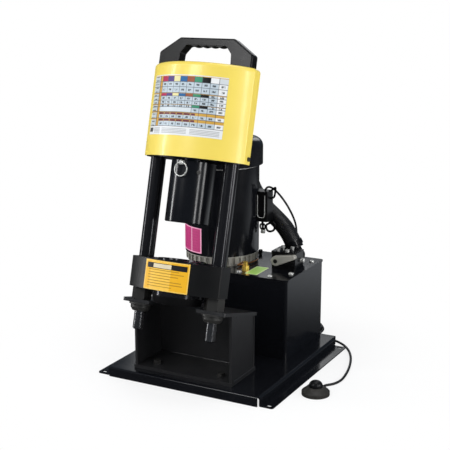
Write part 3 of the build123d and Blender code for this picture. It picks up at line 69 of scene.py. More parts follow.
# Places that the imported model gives, in millimetres from the tray's middle, its front edge and the floor.
ORIGIN_Y = -span("base_tray", Y)[0]
LID_TOP = span("reservoir_lid", Z)[1]
BOX_TOP = span("control_box", Z)[1]
ROD_HALF = (span("tie_rod_right", X)[1] - span("tie_rod_left", X)[1]) / 2
MOTOR = Vector((sum(span("motor_adapter", X)) / 2, sum(span("motor_adapter", Y)) / 2 + ORIGIN_Y, 0))
MOTOR_R = span("motor_frame", X)[1] - MOTOR.x

# The press leans back, and its axes stand on the stand's top plate, midway between the rods.
LEAN = radians(15)
PRESS = Vector((sum(span("die_block", X)) / 2, 8.0, 205.5))


def tray(x, y, z):
    """A point in millimetres from the tray's middle, front edge and the floor, in metres from the origin."""
    return Vector((x, y - ORIGIN_Y, z)) * MM


def press(x, n, s):
    """A point in the press's leaning axes, in millimetres across, backwards and up along the rods."""
    y = PRESS.y + n * cos(LEAN) + s * sin(LEAN)
    z = PRESS.z - n * sin(LEAN) + s * cos(LEAN)
    return tray(PRESS.x + x, y, z)


def press_matrix(x, n, s):
    """Matrix whose Z runs up the leaning press, standing at a press point."""
    return Matrix.Translation(press(x, n, s)) @ Matrix.Rotation(-LEAN, 4, "X")


def facing(place, direction):
    """Matrix that stands a turned piece on a point with its axis along a direction."""
    return Matrix.Translation(place) @ direction.to_track_quat("Z", "Y").to_matrix().to_4x4()


def linear(code):
    """sRGB hex colour as the linear colour that a shader takes."""
    channels = [int(code[i:i + 2], 16) / 255 for i in (0, 2, 4)]
    return tuple(c / 12.92 if c <= 0.04045 else ((c + 0.055) / 1.055) ** 2.4 for c in channels) + (1.0,)


# Settings

class CrimperSizes(bpy.types.PropertyGroup):
    """Sizes of the pieces that dress the machine"""
    hose_diameter: FloatProperty(
        name="Hose diameter", default=0.044, unit="LENGTH",
        description="Outside diameter of the pressure hose")
    rib_pitch: FloatProperty(
        name="Rib pitch", default=0.0036, unit="LENGTH",
        description="Spacing of the ribs round the hose")
    lead_diameter: FloatProperty(
        name="Lead diameter", default=0.0052, unit="LENGTH",
        description="Outside diameter of the control lead")
    cord_diameter: FloatProperty(
        name="Cord diameter", default=0.006, unit="LENGTH",
        description="Outside diameter of the foot switch cord")
    cord_length: FloatProperty(
        name="Cord length", default=1.8, unit="LENGTH",
        description="Real length of the foot switch cord")
    coil_turns: IntProperty(
        name="Coil turns", default=6,
        description="Turns of cord put away behind the tray")
    thread_pitch: FloatProperty(
        name="Thread pitch", default=0.002, unit="LENGTH",
        description="Pitch of the studs' threads")
    plate_thickness: FloatProperty(
        name="Plate thickness", default=0.0004, unit="LENGTH",
        description="Thickness of the printed plates")


class CrimperColours(bpy.types.PropertyGroup):
    """Colours that a user would change"""
    cover: FloatVectorProperty(
        name="Cover", default=linear("E6D05C"), subtype="COLOR", size=4,
        description="Enamel of the cylinder cover")
    black: FloatVectorProperty(
        name="Black paint", default=linear("0B0C0F"), subtype="COLOR", size=4,
        description="Gloss paint of tray, tank and motor")
    amber: FloatVectorProperty(
        name="Amber plate", default=linear("DAA417"), subtype="COLOR", size=4,
        description="Ground of the plate on the die block")
    pink: FloatVectorProperty(
        name="Pink plate", default=linear("B93474"), subtype="COLOR", size=4,
        description="Ground of the plate on the motor")
    green: FloatVectorProperty(
        name="Green plate", default=linear("A4CF66"), subtype="COLOR", size=4,
        description="Ground of the plate on the tank lid")


def sizes():
    return bpy.context.scene.crimper_sizes


def colours():
    return bpy.context.scene.crimper_colours


# Materials

def add(tree, kind, inputs=None, **settings):
    """Adds one node with its settings; an input is a plain value or another node's output socket."""
    made = tree.nodes.new(kind)
    for key, value in settings.items():
        setattr(made, key, value)
    for key, value in (inputs or {}).items():
        if isinstance(value, bpy.types.NodeSocket):
            tree.links.new(value, made.inputs[key])
        else:
            made.inputs[key].default_value = value
    return made


def blank_material(name):
    """New material with its node tree and its Principled shader."""
    material = bpy.data.materials.new(name)
    material.use_nodes = True
    return material, material.node_tree, material.node_tree.nodes["Principled BSDF"]


# Patches of handling and wear are about a ninth of a metre wide on every finish.
PATCHES_PER_METRE = 9.0
COAT_ROUGHNESS = 0.12


def grain(name, colour, shade, rough, spread, speck, relief, metallic=0.0, coat=0.0, specular=0.5,
          stretch=(1, 1, 1)):
    """A surface that drifts between two colours and roughnesses, with a grain; speck and relief in mm."""
    material, tree, shader = blank_material(name)
    place = add(tree, "ShaderNodeTexCoord").outputs["Object"]
    place = add(tree, "ShaderNodeMapping", {"Vector": place, "Scale": stretch}).outputs["Vector"]
    fine = add(tree, "ShaderNodeTexNoise",
               {"Vector": place, "Scale": 1 / MM / speck, "Detail": 4.0, "Roughness": 0.6}).outputs["Fac"]
    slow = add(tree, "ShaderNodeTexNoise",
               {"Vector": place, "Scale": PATCHES_PER_METRE, "Detail": 5.0, "Roughness": 0.55}).outputs["Fac"]
    tint = add(tree, "ShaderNodeMix", {0: slow, 6: colour, 7: shade}, data_type="RGBA").outputs[2]
    wear = add(tree, "ShaderNodeMapRange",
               {"Value": slow, "From Min": 0.3, "From Max": 0.7, "To Min": rough - spread,
                "To Max": rough + spread}).outputs["Result"]
    bump = add(tree, "ShaderNodeBump",
               {"Strength": 0.6, "Distance": relief * MM, "Height": fine}).outputs["Normal"]
    tree.links.new(tint, shader.inputs["Base Color"])
    tree.links.new(wear, shader.inputs["Roughness"])
    tree.links.new(bump, shader.inputs["Normal"])
    shader.inputs["Metallic"].default_value = metallic
    shader.inputs["Coat Weight"].default_value = coat
    shader.inputs["Coat Roughness"].default_value = COAT_ROUGHNESS
    if not metallic:
        shader.inputs["Specular IOR Level"].default_value = specular
    return material


def painted_finishes():
    """Enamel and black paints, by name."""
    kit = {}
    # Stoved enamel on pressed sheet: a bright film with a faint orange peel of about 2 mm.
    kit["cover enamel"] = grain("Stoved yellow enamel", tuple(colours().cover), linear("DDC452"),
                                rough=0.36, spread=0.05, speck=2.2, relief=0.02, coat=0.25)
    # Gloss black paint over rolled sheet: deep, with soft reflections and slight dust.
    kit["gloss black"] = grain("Gloss black paint", tuple(colours().black), linear("111216"),
                               rough=0.17, spread=0.05, speck=1.6, relief=0.008, specular=0.42)
    # Satin black paint over machined and cast pieces: its light spreads wider.
    kit["satin black"] = grain("Satin black paint", linear("070708"), linear("0C0C0E"),
                               rough=0.24, spread=0.06, speck=0.9, relief=0.01, specular=0.34)
    # Brushed-on paint over the weldment: duller and greyer, with the rolled sheet's slow ripple.
    kit["weldment paint"] = grain("Brushed weldment paint", linear("252526"), linear("18181A"),
                                  rough=0.34, spread=0.07, speck=2.4, relief=0.04, specular=0.6)
    # Dull black on the machined block and under the bowl: fine tool marks spread the light.
    kit["block black"] = grain("Dull black on milled steel", linear("070708"), linear("0D0D0E"),
                               rough=0.42, spread=0.06, speck=0.9, relief=0.03, specular=0.36)
    return kit


def metal_finishes():
    """Steels, plated and cast metals, by name."""
    kit = {}
    # Oil-blackened steel: thin oxide on polished bar, so a clear highlight runs down it.
    kit["black steel"] = grain("Oil-blackened steel", linear("1C1C1F"), linear("252528"), rough=0.17,
                               spread=0.05, speck=0.7, relief=0.006, metallic=0.55, stretch=(1, 1, 0.15))
    # The same steel on the stud ends, painted pale and more metallic so that the studs show painted
    # highlights down their length.
    kit["stud steel"] = grain("Black steel lightened for highlights", linear("7A7A7C"), linear("5A5A5C"),
                              rough=0.2, spread=0.05, speck=0.7, relief=0.006, metallic=0.9)
    # Blackened nuts handled with a wrench: dull grey where the oxide has worn.
    kit["worn steel"] = grain("Worn blackened steel", linear("3C3B39"), linear("2A2A29"),
                              rough=0.42, spread=0.09, speck=0.8, relief=0.03, metallic=0.45)
    # Ground and chromed bar.
    kit["ground steel"] = grain("Ground steel", linear("8E8F91"), linear("77797C"), rough=0.26, spread=0.06,
                                speck=0.5, relief=0.008, metallic=1.0, stretch=(1, 1, 0.1))
    # Bright zinc plate on screws and the ring: a pale metal, slightly blue.
    kit["zinc plate"] = grain("Bright zinc plate", linear("D6D6D2"), linear("BCBDBA"),
                              rough=0.22, spread=0.07, speck=0.6, relief=0.01, metallic=0.55)
    # Sand-cast aluminium: pale grey with a 1 mm grain.
    kit["cast alloy"] = grain("Cast aluminium", linear("ADABA2"), linear("8C8A83"),
                              rough=0.42, spread=0.08, speck=1.0, relief=0.06, metallic=0.3)
    # Machined brass: warm, with fine turning marks.
    kit["brass"] = grain("Machined brass", linear("E2C05E"), linear("BF983E"),
                         rough=0.26, spread=0.08, speck=0.5, relief=0.01, metallic=0.6)
    # Bare drawn copper of the small tube.
    kit["copper"] = grain("Drawn copper", linear("B07A4A"), linear("8A5A32"),
                          rough=0.35, spread=0.08, speck=0.5, relief=0.01, metallic=0.7)
    return kit


def moulded_finishes():
    """Rubbers, plastics and windings, by name."""
    kit = {}
    # Extruded rubber cover of the hose, matt with a faint bloom.
    kit["hose rubber"] = grain("Extruded hose rubber", linear("0E0E10"), linear("17171A"),
                               rough=0.42, spread=0.07, speck=1.4, relief=0.02, specular=0.45)
    # Soft vinyl sheath of the cords, slightly shiny.
    kit["cord sheath"] = grain("Black cord sheath", linear("101012"), linear("161618"),
                               rough=0.42, spread=0.06, speck=0.8, relief=0.01, specular=0.4)
    # Oil seal rubber: dull and even.
    kit["seal rubber"] = grain("Nitrile rubber", linear("0A0A0B"), linear("121213"),
                               rough=0.6, spread=0.05, speck=0.6, relief=0.01, specular=0.3)
    # Injection-moulded nylon of the handle: an even spark-eroded grain of about 0.8 mm.
    kit["moulded nylon"] = grain("Moulded black nylon", linear("0A0A0B"), linear("101012"),
                                 rough=0.30, spread=0.06, speck=0.8, relief=0.03, specular=0.22)
    # Softer grey-brown moulding of the foot switch.
    kit["grey moulding"] = grain("Moulded grey plastic", linear("262522"), linear("2F2D2A"),
                                 rough=0.42, spread=0.06, speck=0.9, relief=0.04, specular=0.4)
    # Varnished windings and laminations inside the motor.
    kit["windings"] = grain("Varnished windings", linear("7A4A2A"), linear("5B351D"),
                            rough=0.4, spread=0.08, speck=0.9, relief=0.05)
    return kit


FINISH_NODES = {
    "cover enamel": ("front_cover",),
    "gloss black": ("base_tray", "reservoir_tank", "reservoir_lid", "motor_frame", "fan_cover", "pusher"),
    "satin black": ("cylinder_head", "cylinder_barrel", "cylinder_cap", "top_bar", "valve_block",
                    "valve_plate", "hose_fittings"),
    "weldment paint": ("bench_stand",),
    "block black": ("die_block",),
    "black steel": ("die_bowl", "tie_rod_left", "tie_rod_right"),
    "worn steel": ("rod_nuts_lower", "rod_nuts_upper", "flange_nuts", "stand_bolts", "cover_screws",
                   "handle_screws", "pusher_set_screw"),
    "ground steel": ("ram", "motor_bearings", "motor_rotor", "pump_coupling", "suction_strainer"),
    "zinc plate": ("tank_bolts", "lid_screws", "valve_screws", "retaining_pin", "pull_ring", "motor_trim"),
    "cast alloy": ("motor_adapter", "valve_lever", "pump_body"),
    "brass": ("brass_fitting",),
    "hose rubber": ("pressure_hose",),
    "cord sheath": ("control_cable", "foot_cord_lead", "foot_cord_coil", "foot_cord"),
    "seal rubber": ("ram_wiper", "piston_seal", "lid_gasket", "valve_spindle"),
    "moulded nylon": ("carry_handle", "filler_cap", "motor_fan", "control_box", "control_box_lid",
                      "cord_gland", "foot_switch_dome"),
    "grey moulding": ("foot_switch_base",),
    "windings": ("motor_stator",),
}

# Filled by the first operator, by finish name.
finishes = {}


# Making pieces

def new_object(name, data, material=None):
    piece = bpy.data.objects.new(name, data)
    bpy.context.scene.collection.objects.link(piece)
    if material is not None:
        data.materials.append(material)
    return piece


def settle(piece, body=MACHINE, smooth=None):
    """Rides on its body; smooth is the angle in degrees under which edges shade round."""
    if smooth is not None:
        piece.data.polygons.foreach_set("use_smooth", [True] * len(piece.data.polygons))
        piece.data.set_sharp_from_angle(angle=radians(smooth))
    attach(piece, body)


def mesh_from(piece, name, material):
    """Turns a curve or modified object into a plain mesh object of the given name."""
    depsgraph = bpy.context.evaluated_depsgraph_get()
    mesh = bpy.data.meshes.new_from_object(piece.evaluated_get(depsgraph), depsgraph=depsgraph)
    bpy.data.objects.remove(piece)
    mesh.name = name
    mesh.materials.clear()
    return new_object(name, mesh, material)


def line(name, points, diameter=0.0, material=None, kind="NURBS", closed=False, resolution=6, sides=5):
    """A curve with the points as its control points, round where it has a diameter."""
    curve = bpy.data.curves.new(name, "CURVE")
    curve.dimensions = "3D"
    spline = curve.splines.new(kind)
    spline.points.add(len(points) - 1)
    for control, point in zip(spline.points, points):
        control.co = (*point, 1.0)
    spline.order_u = 3
    spline.use_cyclic_u = closed
    spline.use_endpoint_u = not closed
    spline.resolution_u = resolution
    curve.bevel_depth = diameter / 2
    curve.bevel_resolution = sides
    curve.use_fill_caps = not closed
    return new_object(name, curve, material)


def points_object(name, places):
    """Loose points for a Geometry Nodes tree to put copies on."""
    mesh = bpy.data.meshes.new(name)
    mesh.from_pydata([tuple(place) for place in places], [], [])
    return new_object(name, mesh)


# Third item of a profile's ring that is a hexagon, with the radius to its flats.
HEX = True


def ring_of(form, radius, height, six_sided, segments):
    """The vertices of one ring of a turned piece, or the single one at its pole."""
    if radius < 1e-6:
        return [form.verts.new((0, 0, height * MM))]
    ring = []
    for k in range(segments):
        angle = tau * k / segments
        out = radius / cos(angle % (pi / 3) - pi / 6) if six_sided else radius
        ring.append(form.verts.new((out * MM * cos(angle), out * MM * sin(angle), height * MM)))
    return ring


def turned(name, profile, material=None, place=None, segments=48):
    """A lathe piece: rings of radius and height in millimetres, six-sided with HEX, placed by a matrix."""
    mesh = bpy.data.meshes.new(name)
    form = bmesh.new()
    rings = [ring_of(form, radius, height, six_sided, segments) for radius, height, *six_sided in profile]
    for low, high in zip(rings, rings[1:]):
        for k in range(segments):
            around = [low[k % len(low)], low[(k + 1) % len(low)],
                      high[(k + 1) % len(high)], high[k % len(high)]]
            corners = [v for i, v in enumerate(around) if v not in around[:i]]
            if len(corners) > 2:
                form.faces.new(corners)
    bmesh.ops.recalc_face_normals(form, faces=form.faces)
    if place is not None:
        form.transform(place)
    form.to_mesh(mesh)
    form.free()
    return new_object(name, mesh, material)


def bent_plate(name, point, columns, rows, thickness, material):
    """A thin plate on a surface: point(u, v, lift) gives the surface and its outside, u and v from 0 to 1."""
    mesh = bpy.data.meshes.new(name)
    form = bmesh.new()
    uv = form.loops.layers.uv.new("print")

    def skin(lift):
        return [[form.verts.new(point(i / columns, j / rows, lift)) for i in range(columns + 1)]
                for j in range(rows + 1)]

    front, back = skin(thickness), skin(0.0)
    for j in range(rows):
        for i in range(columns):
            cell = ((i, j), (i + 1, j), (i + 1, j + 1), (i, j + 1))
            face = form.faces.new([front[b][a] for a, b in cell])
            for loop, (a, b) in zip(face.loops, cell):
                loop[uv].uv = (a / columns, b / rows)
            form.faces.new((back[j][i], back[j + 1][i], back[j + 1][i + 1], back[j][i + 1]))
    for j in range(rows):
        for i in (0, columns):
            form.faces.new((front[j][i], front[j + 1][i], back[j + 1][i], back[j][i]))
    for i in range(columns):
        for j in (0, rows):
            form.faces.new((front[j][i], front[j][i + 1], back[j][i + 1], back[j][i]))
    bmesh.ops.recalc_face_normals(form, faces=form.faces)
    form.to_mesh(mesh)
    form.free()
    return new_object(name, mesh, material)


# Geometry Nodes

CORE_SIDES = 32


def copies_along(tree, source, shape):
    """Copies of a shape at even steps along the carrier's line, square to it, round a solid core."""
    steps = add(tree, "GeometryNodeResampleCurve", {"Curve": source["Carrier"], "Length": source["Spacing"]},
                mode="LENGTH").outputs[0]
    tangent = add(tree, "GeometryNodeInputTangent").outputs[0]
    turn = add(tree, "FunctionNodeAlignRotationToVector", {"Vector": tangent}, axis="Z").outputs[0]
    copies = add(tree, "GeometryNodeInstanceOnPoints", {"Points": steps, "Instance": shape, "Rotation": turn})
    section = add(tree, "GeometryNodeCurvePrimitiveCircle",
                  {"Resolution": CORE_SIDES, "Radius": source["Core radius"]}).outputs[0]
    core = add(tree, "GeometryNodeCurveToMesh",
               {"Curve": source["Carrier"], "Profile Curve": section, "Fill Caps": True})
    joined = add(tree, "GeometryNodeJoinGeometry")
    tree.links.new(core.outputs[0], joined.inputs[0])
    tree.links.new(copies.outputs[0], joined.inputs[0])
    return joined.outputs[0]


def repeated(name, carrier, prototype, material, spacing=0.0, core=0.0):
    """One mesh of a prototype's copies, on the carrier's points or at a spacing in metres along its line."""
    tree = bpy.data.node_groups.new(name, "GeometryNodeTree")
    tree.interface.new_socket("Carrier", in_out="INPUT", socket_type="NodeSocketGeometry")
    values = {"Prototype": prototype, "Spacing": spacing, "Core radius": core, "Finish": material}
    kinds = ("NodeSocketObject", "NodeSocketFloat", "NodeSocketFloat", "NodeSocketMaterial")
    ids = {label: tree.interface.new_socket(label, in_out="INPUT", socket_type=kind).identifier
           for label, kind in zip(values, kinds)}
    tree.interface.new_socket("Copies", in_out="OUTPUT", socket_type="NodeSocketGeometry")
    source = add(tree, "NodeGroupInput").outputs
    shape = add(tree, "GeometryNodeObjectInfo", {"Object": source["Prototype"], "As Instance": True})
    shape = shape.outputs["Geometry"]
    if spacing:
        whole = copies_along(tree, source, shape)
    else:
        whole = add(tree, "GeometryNodeInstanceOnPoints",
                    {"Points": source["Carrier"], "Instance": shape}).outputs[0]
    real = add(tree, "GeometryNodeRealizeInstances", {"Geometry": whole}).outputs[0]
    dressed = add(tree, "GeometryNodeSetMaterial",
                  {"Geometry": real, "Material": source["Finish"]}).outputs[0]
    tree.links.new(dressed, add(tree, "NodeGroupOutput").inputs[0])
    modifier = carrier.modifiers.new(name, "NODES")
    modifier.node_group = tree
    for label, value in values.items():
        modifier[ids[label]] = value
    made = mesh_from(carrier, name, material)
    bpy.data.objects.remove(prototype)
    bpy.data.node_groups.remove(tree)
    return made


# Printed plates

class Print:
    """A screen-printed film: flat colours laid one over another on the plate's own UV map."""

    def __init__(self, name, ground):
        self.material, self.tree, self.shader = blank_material(name)
        coords = add(self.tree, "ShaderNodeUVMap", uv_map="print").outputs["UV"]
        split = add(self.tree, "ShaderNodeSeparateXYZ", {"Vector": coords})
        self.u, self.v = split.outputs["X"], split.outputs["Y"]
        self.colour = ground

    def both(self, first, *others):
        """Where every mask is 1; a plain number among them thins the ink."""
        for other in others:
            first = add(self.tree, "ShaderNodeMath", {0: first, 1: other}, operation="MULTIPLY").outputs[0]
        return first

    def either(self, first, *others):
        """Where any of the masks is 1."""
        for other in others:
            first = add(self.tree, "ShaderNodeMath", {0: first, 1: other}, operation="MAXIMUM").outputs[0]
        return first

    def outside(self, mask):
        """Where the mask is 0."""
        return add(self.tree, "ShaderNodeMath", {0: 1.0, 1: mask}, operation="SUBTRACT").outputs[0]

    def beyond(self, value, low):
        """Where the value is greater than low."""
        return add(self.tree, "ShaderNodeMath", {0: value, 1: low}, operation="GREATER_THAN").outputs[0]

    def band(self, value, low, high):
        """Where the value lies between low and high."""
        under = add(self.tree, "ShaderNodeMath", {0: value, 1: high}, operation="LESS_THAN").outputs[0]
        return self.both(self.beyond(value, low), under)

    def across(self, low, high):
        return self.band(self.u, low, high)

    def up(self, low, high):
        return self.band(self.v, low, high)

    def parts(self, value, count):
        """A value counted in equal parts, and the place within its part from 0 to 1."""
        counted = add(self.tree, "ShaderNodeMath", {0: value, 1: count}, operation="MULTIPLY").outputs[0]
        return counted, add(self.tree, "ShaderNodeMath", {0: counted}, operation="FRACT").outputs[0]

    def rules(self, value, count, low, high):
        """The same band in each of a number of equal parts."""
        return self.band(self.parts(value, count)[1], low, high)

    def lay(self, colour, mask, ink=None):
        """Prints a colour on the mask; ink is how much of it covers what lies below."""
        if ink is not None:
            mask = self.both(mask, ink)
        mixed = add(self.tree, "ShaderNodeMix", {0: mask, 6: self.colour, 7: colour}, data_type="RGBA")
        self.colour = mixed.outputs[2]

    def varnished(self):
        """The finished material: a half-matt clear varnish with a slight ripple."""
        place = add(self.tree, "ShaderNodeTexCoord").outputs["Object"]
        ripple = add(self.tree, "ShaderNodeTexNoise", {"Vector": place, "Scale": 120.0}).outputs["Fac"]
        bump = add(self.tree, "ShaderNodeBump", {"Strength": 0.3, "Distance": 0.04 * MM, "Height": ripple})
        self.tree.links.new(self.colour, self.shader.inputs["Base Color"])
        self.tree.links.new(bump.outputs["Normal"], self.shader.inputs["Normal"])
        self.shader.inputs["Roughness"].default_value = 0.38
        self.shader.inputs["Specular IOR Level"].default_value = 0.3
        return self.material


# The table's print, in shares of the plate: a column of row names, a narrow gold one, then nine size columns.
NAME_EDGE = 0.12
GOLD_EDGE = 0.162
TABLE_TOP, TABLE_FOOT = 0.985, 0.14
HEAD_COLOURS = ("A3154A", "3A2170", "D6CE96", "155A90", "8A4322", "22805E", "0C0D0E", "DADCDD", "C2C8CC")
COLUMNS = len(HEAD_COLOURS)
COLUMN_WIDTH = (1 - GOLD_EDGE) / COLUMNS
ROWS = ((0.885, 0.975), (0.80, 0.885), (0.70, 0.80), (0.645, 0.685), (0.575, 0.645), (0.51, 0.575),
        (0.465, 0.50), (0.385, 0.465), (0.275, 0.335), (0.145, 0.225))
NAME_ROWS = ((0.70, 0.975), (0.515, 0.68), (0.395, 0.495), (0.275, 0.37), (0.145, 0.255))
# Rows with coloured heads: lower and upper edge, first column and the one after the last.
HEADS = ((0.885, 0.975, 0, 9), (0.645, 0.69, 0, 7), (0.465, 0.505, 5, 7))
OPEN_ROW, OPEN_COLUMNS = (0.385, 0.465), 5
RED_STRIPS = ((0.338, 0.372), (0.228, 0.262))
RED_COLUMNS = 5.6
LINE_HALF = 0.006
FIGURE_HALF = 0.016


def head_ramp(film, along):
    """The colour of the head that stands over each column."""
    share = add(film.tree, "ShaderNodeMath", {0: along, 1: float(COLUMNS)}, operation="DIVIDE").outputs[0]
    ramp = add(film.tree, "ShaderNodeValToRGB", {"Fac": share})
    ramp.color_ramp.interpolation = "CONSTANT"
    while len(ramp.color_ramp.elements) < COLUMNS:
        ramp.color_ramp.elements.new(0.5)
    for i, code in enumerate(HEAD_COLOURS):
        ramp.color_ramp.elements[i].position = i / COLUMNS
        ramp.color_ramp.elements[i].color = linear(code)
    return ramp.outputs["Color"]


def figures(film):
    """Broken specks that read as digits too small to make out, 95 across the film and 24 up it."""
    x = add(film.tree, "ShaderNodeMath", {0: film.u, 1: 95.0}, operation="MULTIPLY").outputs[0]
    y = add(film.tree, "ShaderNodeMath", {0: film.v, 1: 24.0}, operation="MULTIPLY").outputs[0]
    place = add(film.tree, "ShaderNodeCombineXYZ", {"X": x, "Y": y, "Z": 2.7}).outputs[0]
    noise = add(film.tree, "ShaderNodeTexNoise", {"Vector": place, "Scale": 1.0}).outputs["Fac"]
    return film.beyond(noise, 0.44)


def table_material():
    """Film of the cover's table: grey-blue cells on gold, coloured heads and dark lines."""
    film = Print("Varnished chart film", linear("D2D5D7"))
    past = add(film.tree, "ShaderNodeMath", {0: film.u, 1: GOLD_EDGE}, operation="SUBTRACT").outputs[0]
    along, within = film.parts(past, COLUMNS / (1 - GOLD_EDGE))
    sized = film.beyond(film.u, GOLD_EDGE)
    ramp = head_ramp(film, along)
    table = film.up(TABLE_FOOT, TABLE_TOP)
    film.lay(linear("BE9440"), table)
    # Cells of blue-grey over the gold ground; the gold shows between the blocks.
    film.lay(linear("AEBBC4"), film.both(film.either(*[film.up(*row) for row in ROWS]), sized))
    names = film.both(film.across(0.0, NAME_EDGE), film.either(*[film.up(*row) for row in NAME_ROWS]))
    film.lay(linear("B4BBBE"), names)
    last = film.both(film.across(0.905, 0.995), film.either(*[film.up(*row) for row in ROWS[1:]]))
    film.lay(linear("D6D9DB"), last)
    unruled = film.both(film.across(GOLD_EDGE, GOLD_EDGE + OPEN_COLUMNS * COLUMN_WIDTH), film.up(*OPEN_ROW))
    film.lay(linear("C2CACF"), unruled)
    # Coloured heads of the three blocks.
    heads = film.either(*[film.both(film.up(low, high), film.band(along, first - 0.001, float(end)))
                          for low, high, first, end in HEADS])
    film.lay(ramp, heads)
    # Wine-red strips over the two lowest rows, broken at the columns.
    strips = film.either(*[film.up(*strip) for strip in RED_STRIPS])
    strips = film.both(strips, film.band(along, 0.0, RED_COLUMNS), film.band(within, 0.1, 0.94))
    film.lay(linear("5E1F30"), strips)
    # Dark lines between the cells, but for the wide open one.
    upright = film.both(film.band(within, 0.0, 0.07), sized, film.outside(unruled))
    upright = film.either(upright, film.across(NAME_EDGE - LINE_HALF, NAME_EDGE + LINE_HALF))
    level = film.either(*[film.up(low - LINE_HALF, low + 0.004) for low, _ in ROWS])
    film.lay(linear("39424A"), film.both(film.either(upright, level), table), 0.8)
    # A small dark figure in the middle of each cell, and finer ones among the names.
    digits = figures(film)
    middles = film.either(*[film.up((low + high) / 2 - FIGURE_HALF, (low + high) / 2 + FIGURE_HALF)
                            for low, high in ROWS])
    marks = film.both(digits, middles, film.band(within, 0.3, 0.72), film.both(sized, film.outside(unruled)))
    marks = film.both(marks, film.outside(heads))
    beside = film.both(digits, film.across(0.025, NAME_EDGE - 0.03))
    beside = film.both(beside, film.both(names, film.rules(film.v, 16.0, 0.35, 0.65)))
    film.lay(linear("1E2327"), film.either(marks, beside), 0.85)
    # Small print in the foot in three groups, and a dark block at its left.
    groups = film.either(film.across(0.1, 0.21), film.across(0.245, 0.60), film.across(0.64, 0.97))
    small = film.both(film.rules(film.v, 42.0, 0.25, 0.75), film.up(0.03, 0.12), groups)
    film.lay(linear("6A6E72"), small, 0.6)
    film.lay(linear("1C1C1C"), film.both(film.across(0.012, 0.08), film.up(0.045, 0.115)), 0.9)
    return film.varnished()


AMBER_ROWS = 11.0


def amber_material():
    """Amber film with a painted highlight on its left part, a dark head band, a pale block in it and brown
    rules of uneven length.
    """
    film = Print("Amber printed film", linear("E2B956"))
    face = film.both(film.across(0.022, 0.978), film.up(0.035, 0.965))
    film.lay(tuple(colours().amber), face)
    # Painted highlight: the left part of the film is laid lighter, for the light that the block's round front
    # catches there.
    film.lay(linear("F0CF6A"), film.both(film.across(0.14, 0.62), face), 0.4)
    film.lay(linear("17171A"), film.both(film.up(0.73, 0.91), film.across(0.05, 0.955)))
    film.lay(linear("E9DDBD"), film.both(film.up(0.75, 0.89), film.across(0.2, 0.62)), 0.75)
    row, within = film.parts(film.v, AMBER_ROWS)
    row = add(film.tree, "ShaderNodeMath", {0: row}, operation="FLOOR").outputs[0]
    chance = add(film.tree, "ShaderNodeTexWhiteNoise", {"W": row}, noise_dimensions="1D").outputs["Value"]
    reach = add(film.tree, "ShaderNodeMath", {0: chance, 1: 0.3, 2: 0.62},
                operation="MULTIPLY_ADD").outputs[0]
    rules = film.both(film.band(within, 0.36, 0.64), film.up(0.09, 0.7), film.across(0.09, reach))
    film.lay(linear("7A5A14"), rules, 0.75)
    return film.varnished()


def pink_material():
    """Pink film with darker rules and one pale column line."""
    film = Print("Pink printed film", linear("EFA3C2"))
    film.lay(tuple(colours().pink), film.both(film.across(0.04, 0.96), film.up(0.05, 0.96)))
    film.lay(linear("A32B62"), film.both(film.rules(film.v, 9.0, 0.35, 0.6), film.across(0.1, 0.88)), 0.55)
    film.lay(linear("F0B9D0"), film.across(0.62, 0.66), 0.7)
    return film.varnished()


def green_material():
    """Light green film with faint rules."""
    film = Print("Green printed film", linear("D5E9A8"))
    film.lay(tuple(colours().green), film.both(film.across(0.08, 0.92), film.up(0.03, 0.97)))
    film.lay(linear("5F8A32"), film.both(film.rules(film.u, 6.0, 0.35, 0.62), film.up(0.1, 0.9)), 0.35)
    return film.varnished()


# Surfaces that carry the plates, in millimetres: the air behind a plate, and the round fronts in press axes.
FILM_GAP = 0.05
COVER_FRONT = {"radius": 170.83, "centre": 103.83, "across": (-111.5, 86.5), "up": (380.0, 516.0)}
BLOCK_FRONT = {"radius": 209.75, "centre": 148.75, "across": (-62.5, 53.0), "up": (30.5, 97.5)}
MOTOR_PLATE_TURN = (-62.0, -5.0)
MOTOR_PLATE_UP = (255.0, 320.0)
LID_PLATE_CORNER = (38.0, 252.0)
LID_PLATE_SIZE = (33.0, 70.0)
LID_PLATE_SKEW = 0.5


def between(ends, share):
    return ends[0] + (ends[1] - ends[0]) * share


def round_front(radius, centre, across, up):
    """Point function of a round front in press axes, whose centre lies behind the rods."""
    def point(u, v, lift):
        x = between(across, u)
        out = radius + FILM_GAP + lift / MM
        turn = atan2(x, sqrt(radius * radius - x * x))
        return press(out * sin(turn), centre - out * cos(turn), between(up, v))
    return point


def motor_side(u, v, lift):
    """The motor body's round side; the turn is counted from its front towards the right."""
    turn = radians(between(MOTOR_PLATE_TURN, u))
    out = MOTOR_R + FILM_GAP + lift / MM
    return tray(MOTOR.x + out * sin(turn), MOTOR.y - out * cos(turn), between(MOTOR_PLATE_UP, v))


def lid_top(u, v, lift):
    """The lid's flat top, with the plate stuck on slightly askew."""
    x = LID_PLATE_CORNER[0] + LID_PLATE_SIZE[0] * u - LID_PLATE_SKEW * v
    return tray(x, LID_PLATE_CORNER[1] + LID_PLATE_SIZE[1] * v, LID_TOP + FILM_GAP + lift / MM)


# The foot switch's cord: its height on the floor, its coil behind the tray, and the routes to and from it.
CORD_REST = 3.2
COIL_CENTRE = Vector((85.7, 540.0))
COIL_OUTER = 39.0
COIL_STEP = 6.0
COIL_POINTS = 12
COIL_TOP = CORD_REST + COIL_STEP
COIL_END = ((pi, COIL_TOP), (2.7, COIL_TOP), (2.2, COIL_TOP), (1.7, COIL_TOP), (1.2, 8.6), (0.75, 7.2))
CORD_LEAD = [(40, 477, 11), (40, 489, 11), (39.6, 503, 6), (40, 518, CORD_REST), (41, 530, CORD_REST)]
CORD_DROP = [(128.5, 548, 5.6), (131.2, 536, 3.4)]
CORD_RUN = ((131.4, 521), (137, 502), (153, 489), (182, 483), (215, 466), (244, 435), (266, 397), (284, 351),
            (298, 300), (306, 252), (307, 222), (299, 197), (283.5, 181.5), (283.5, 163.5))


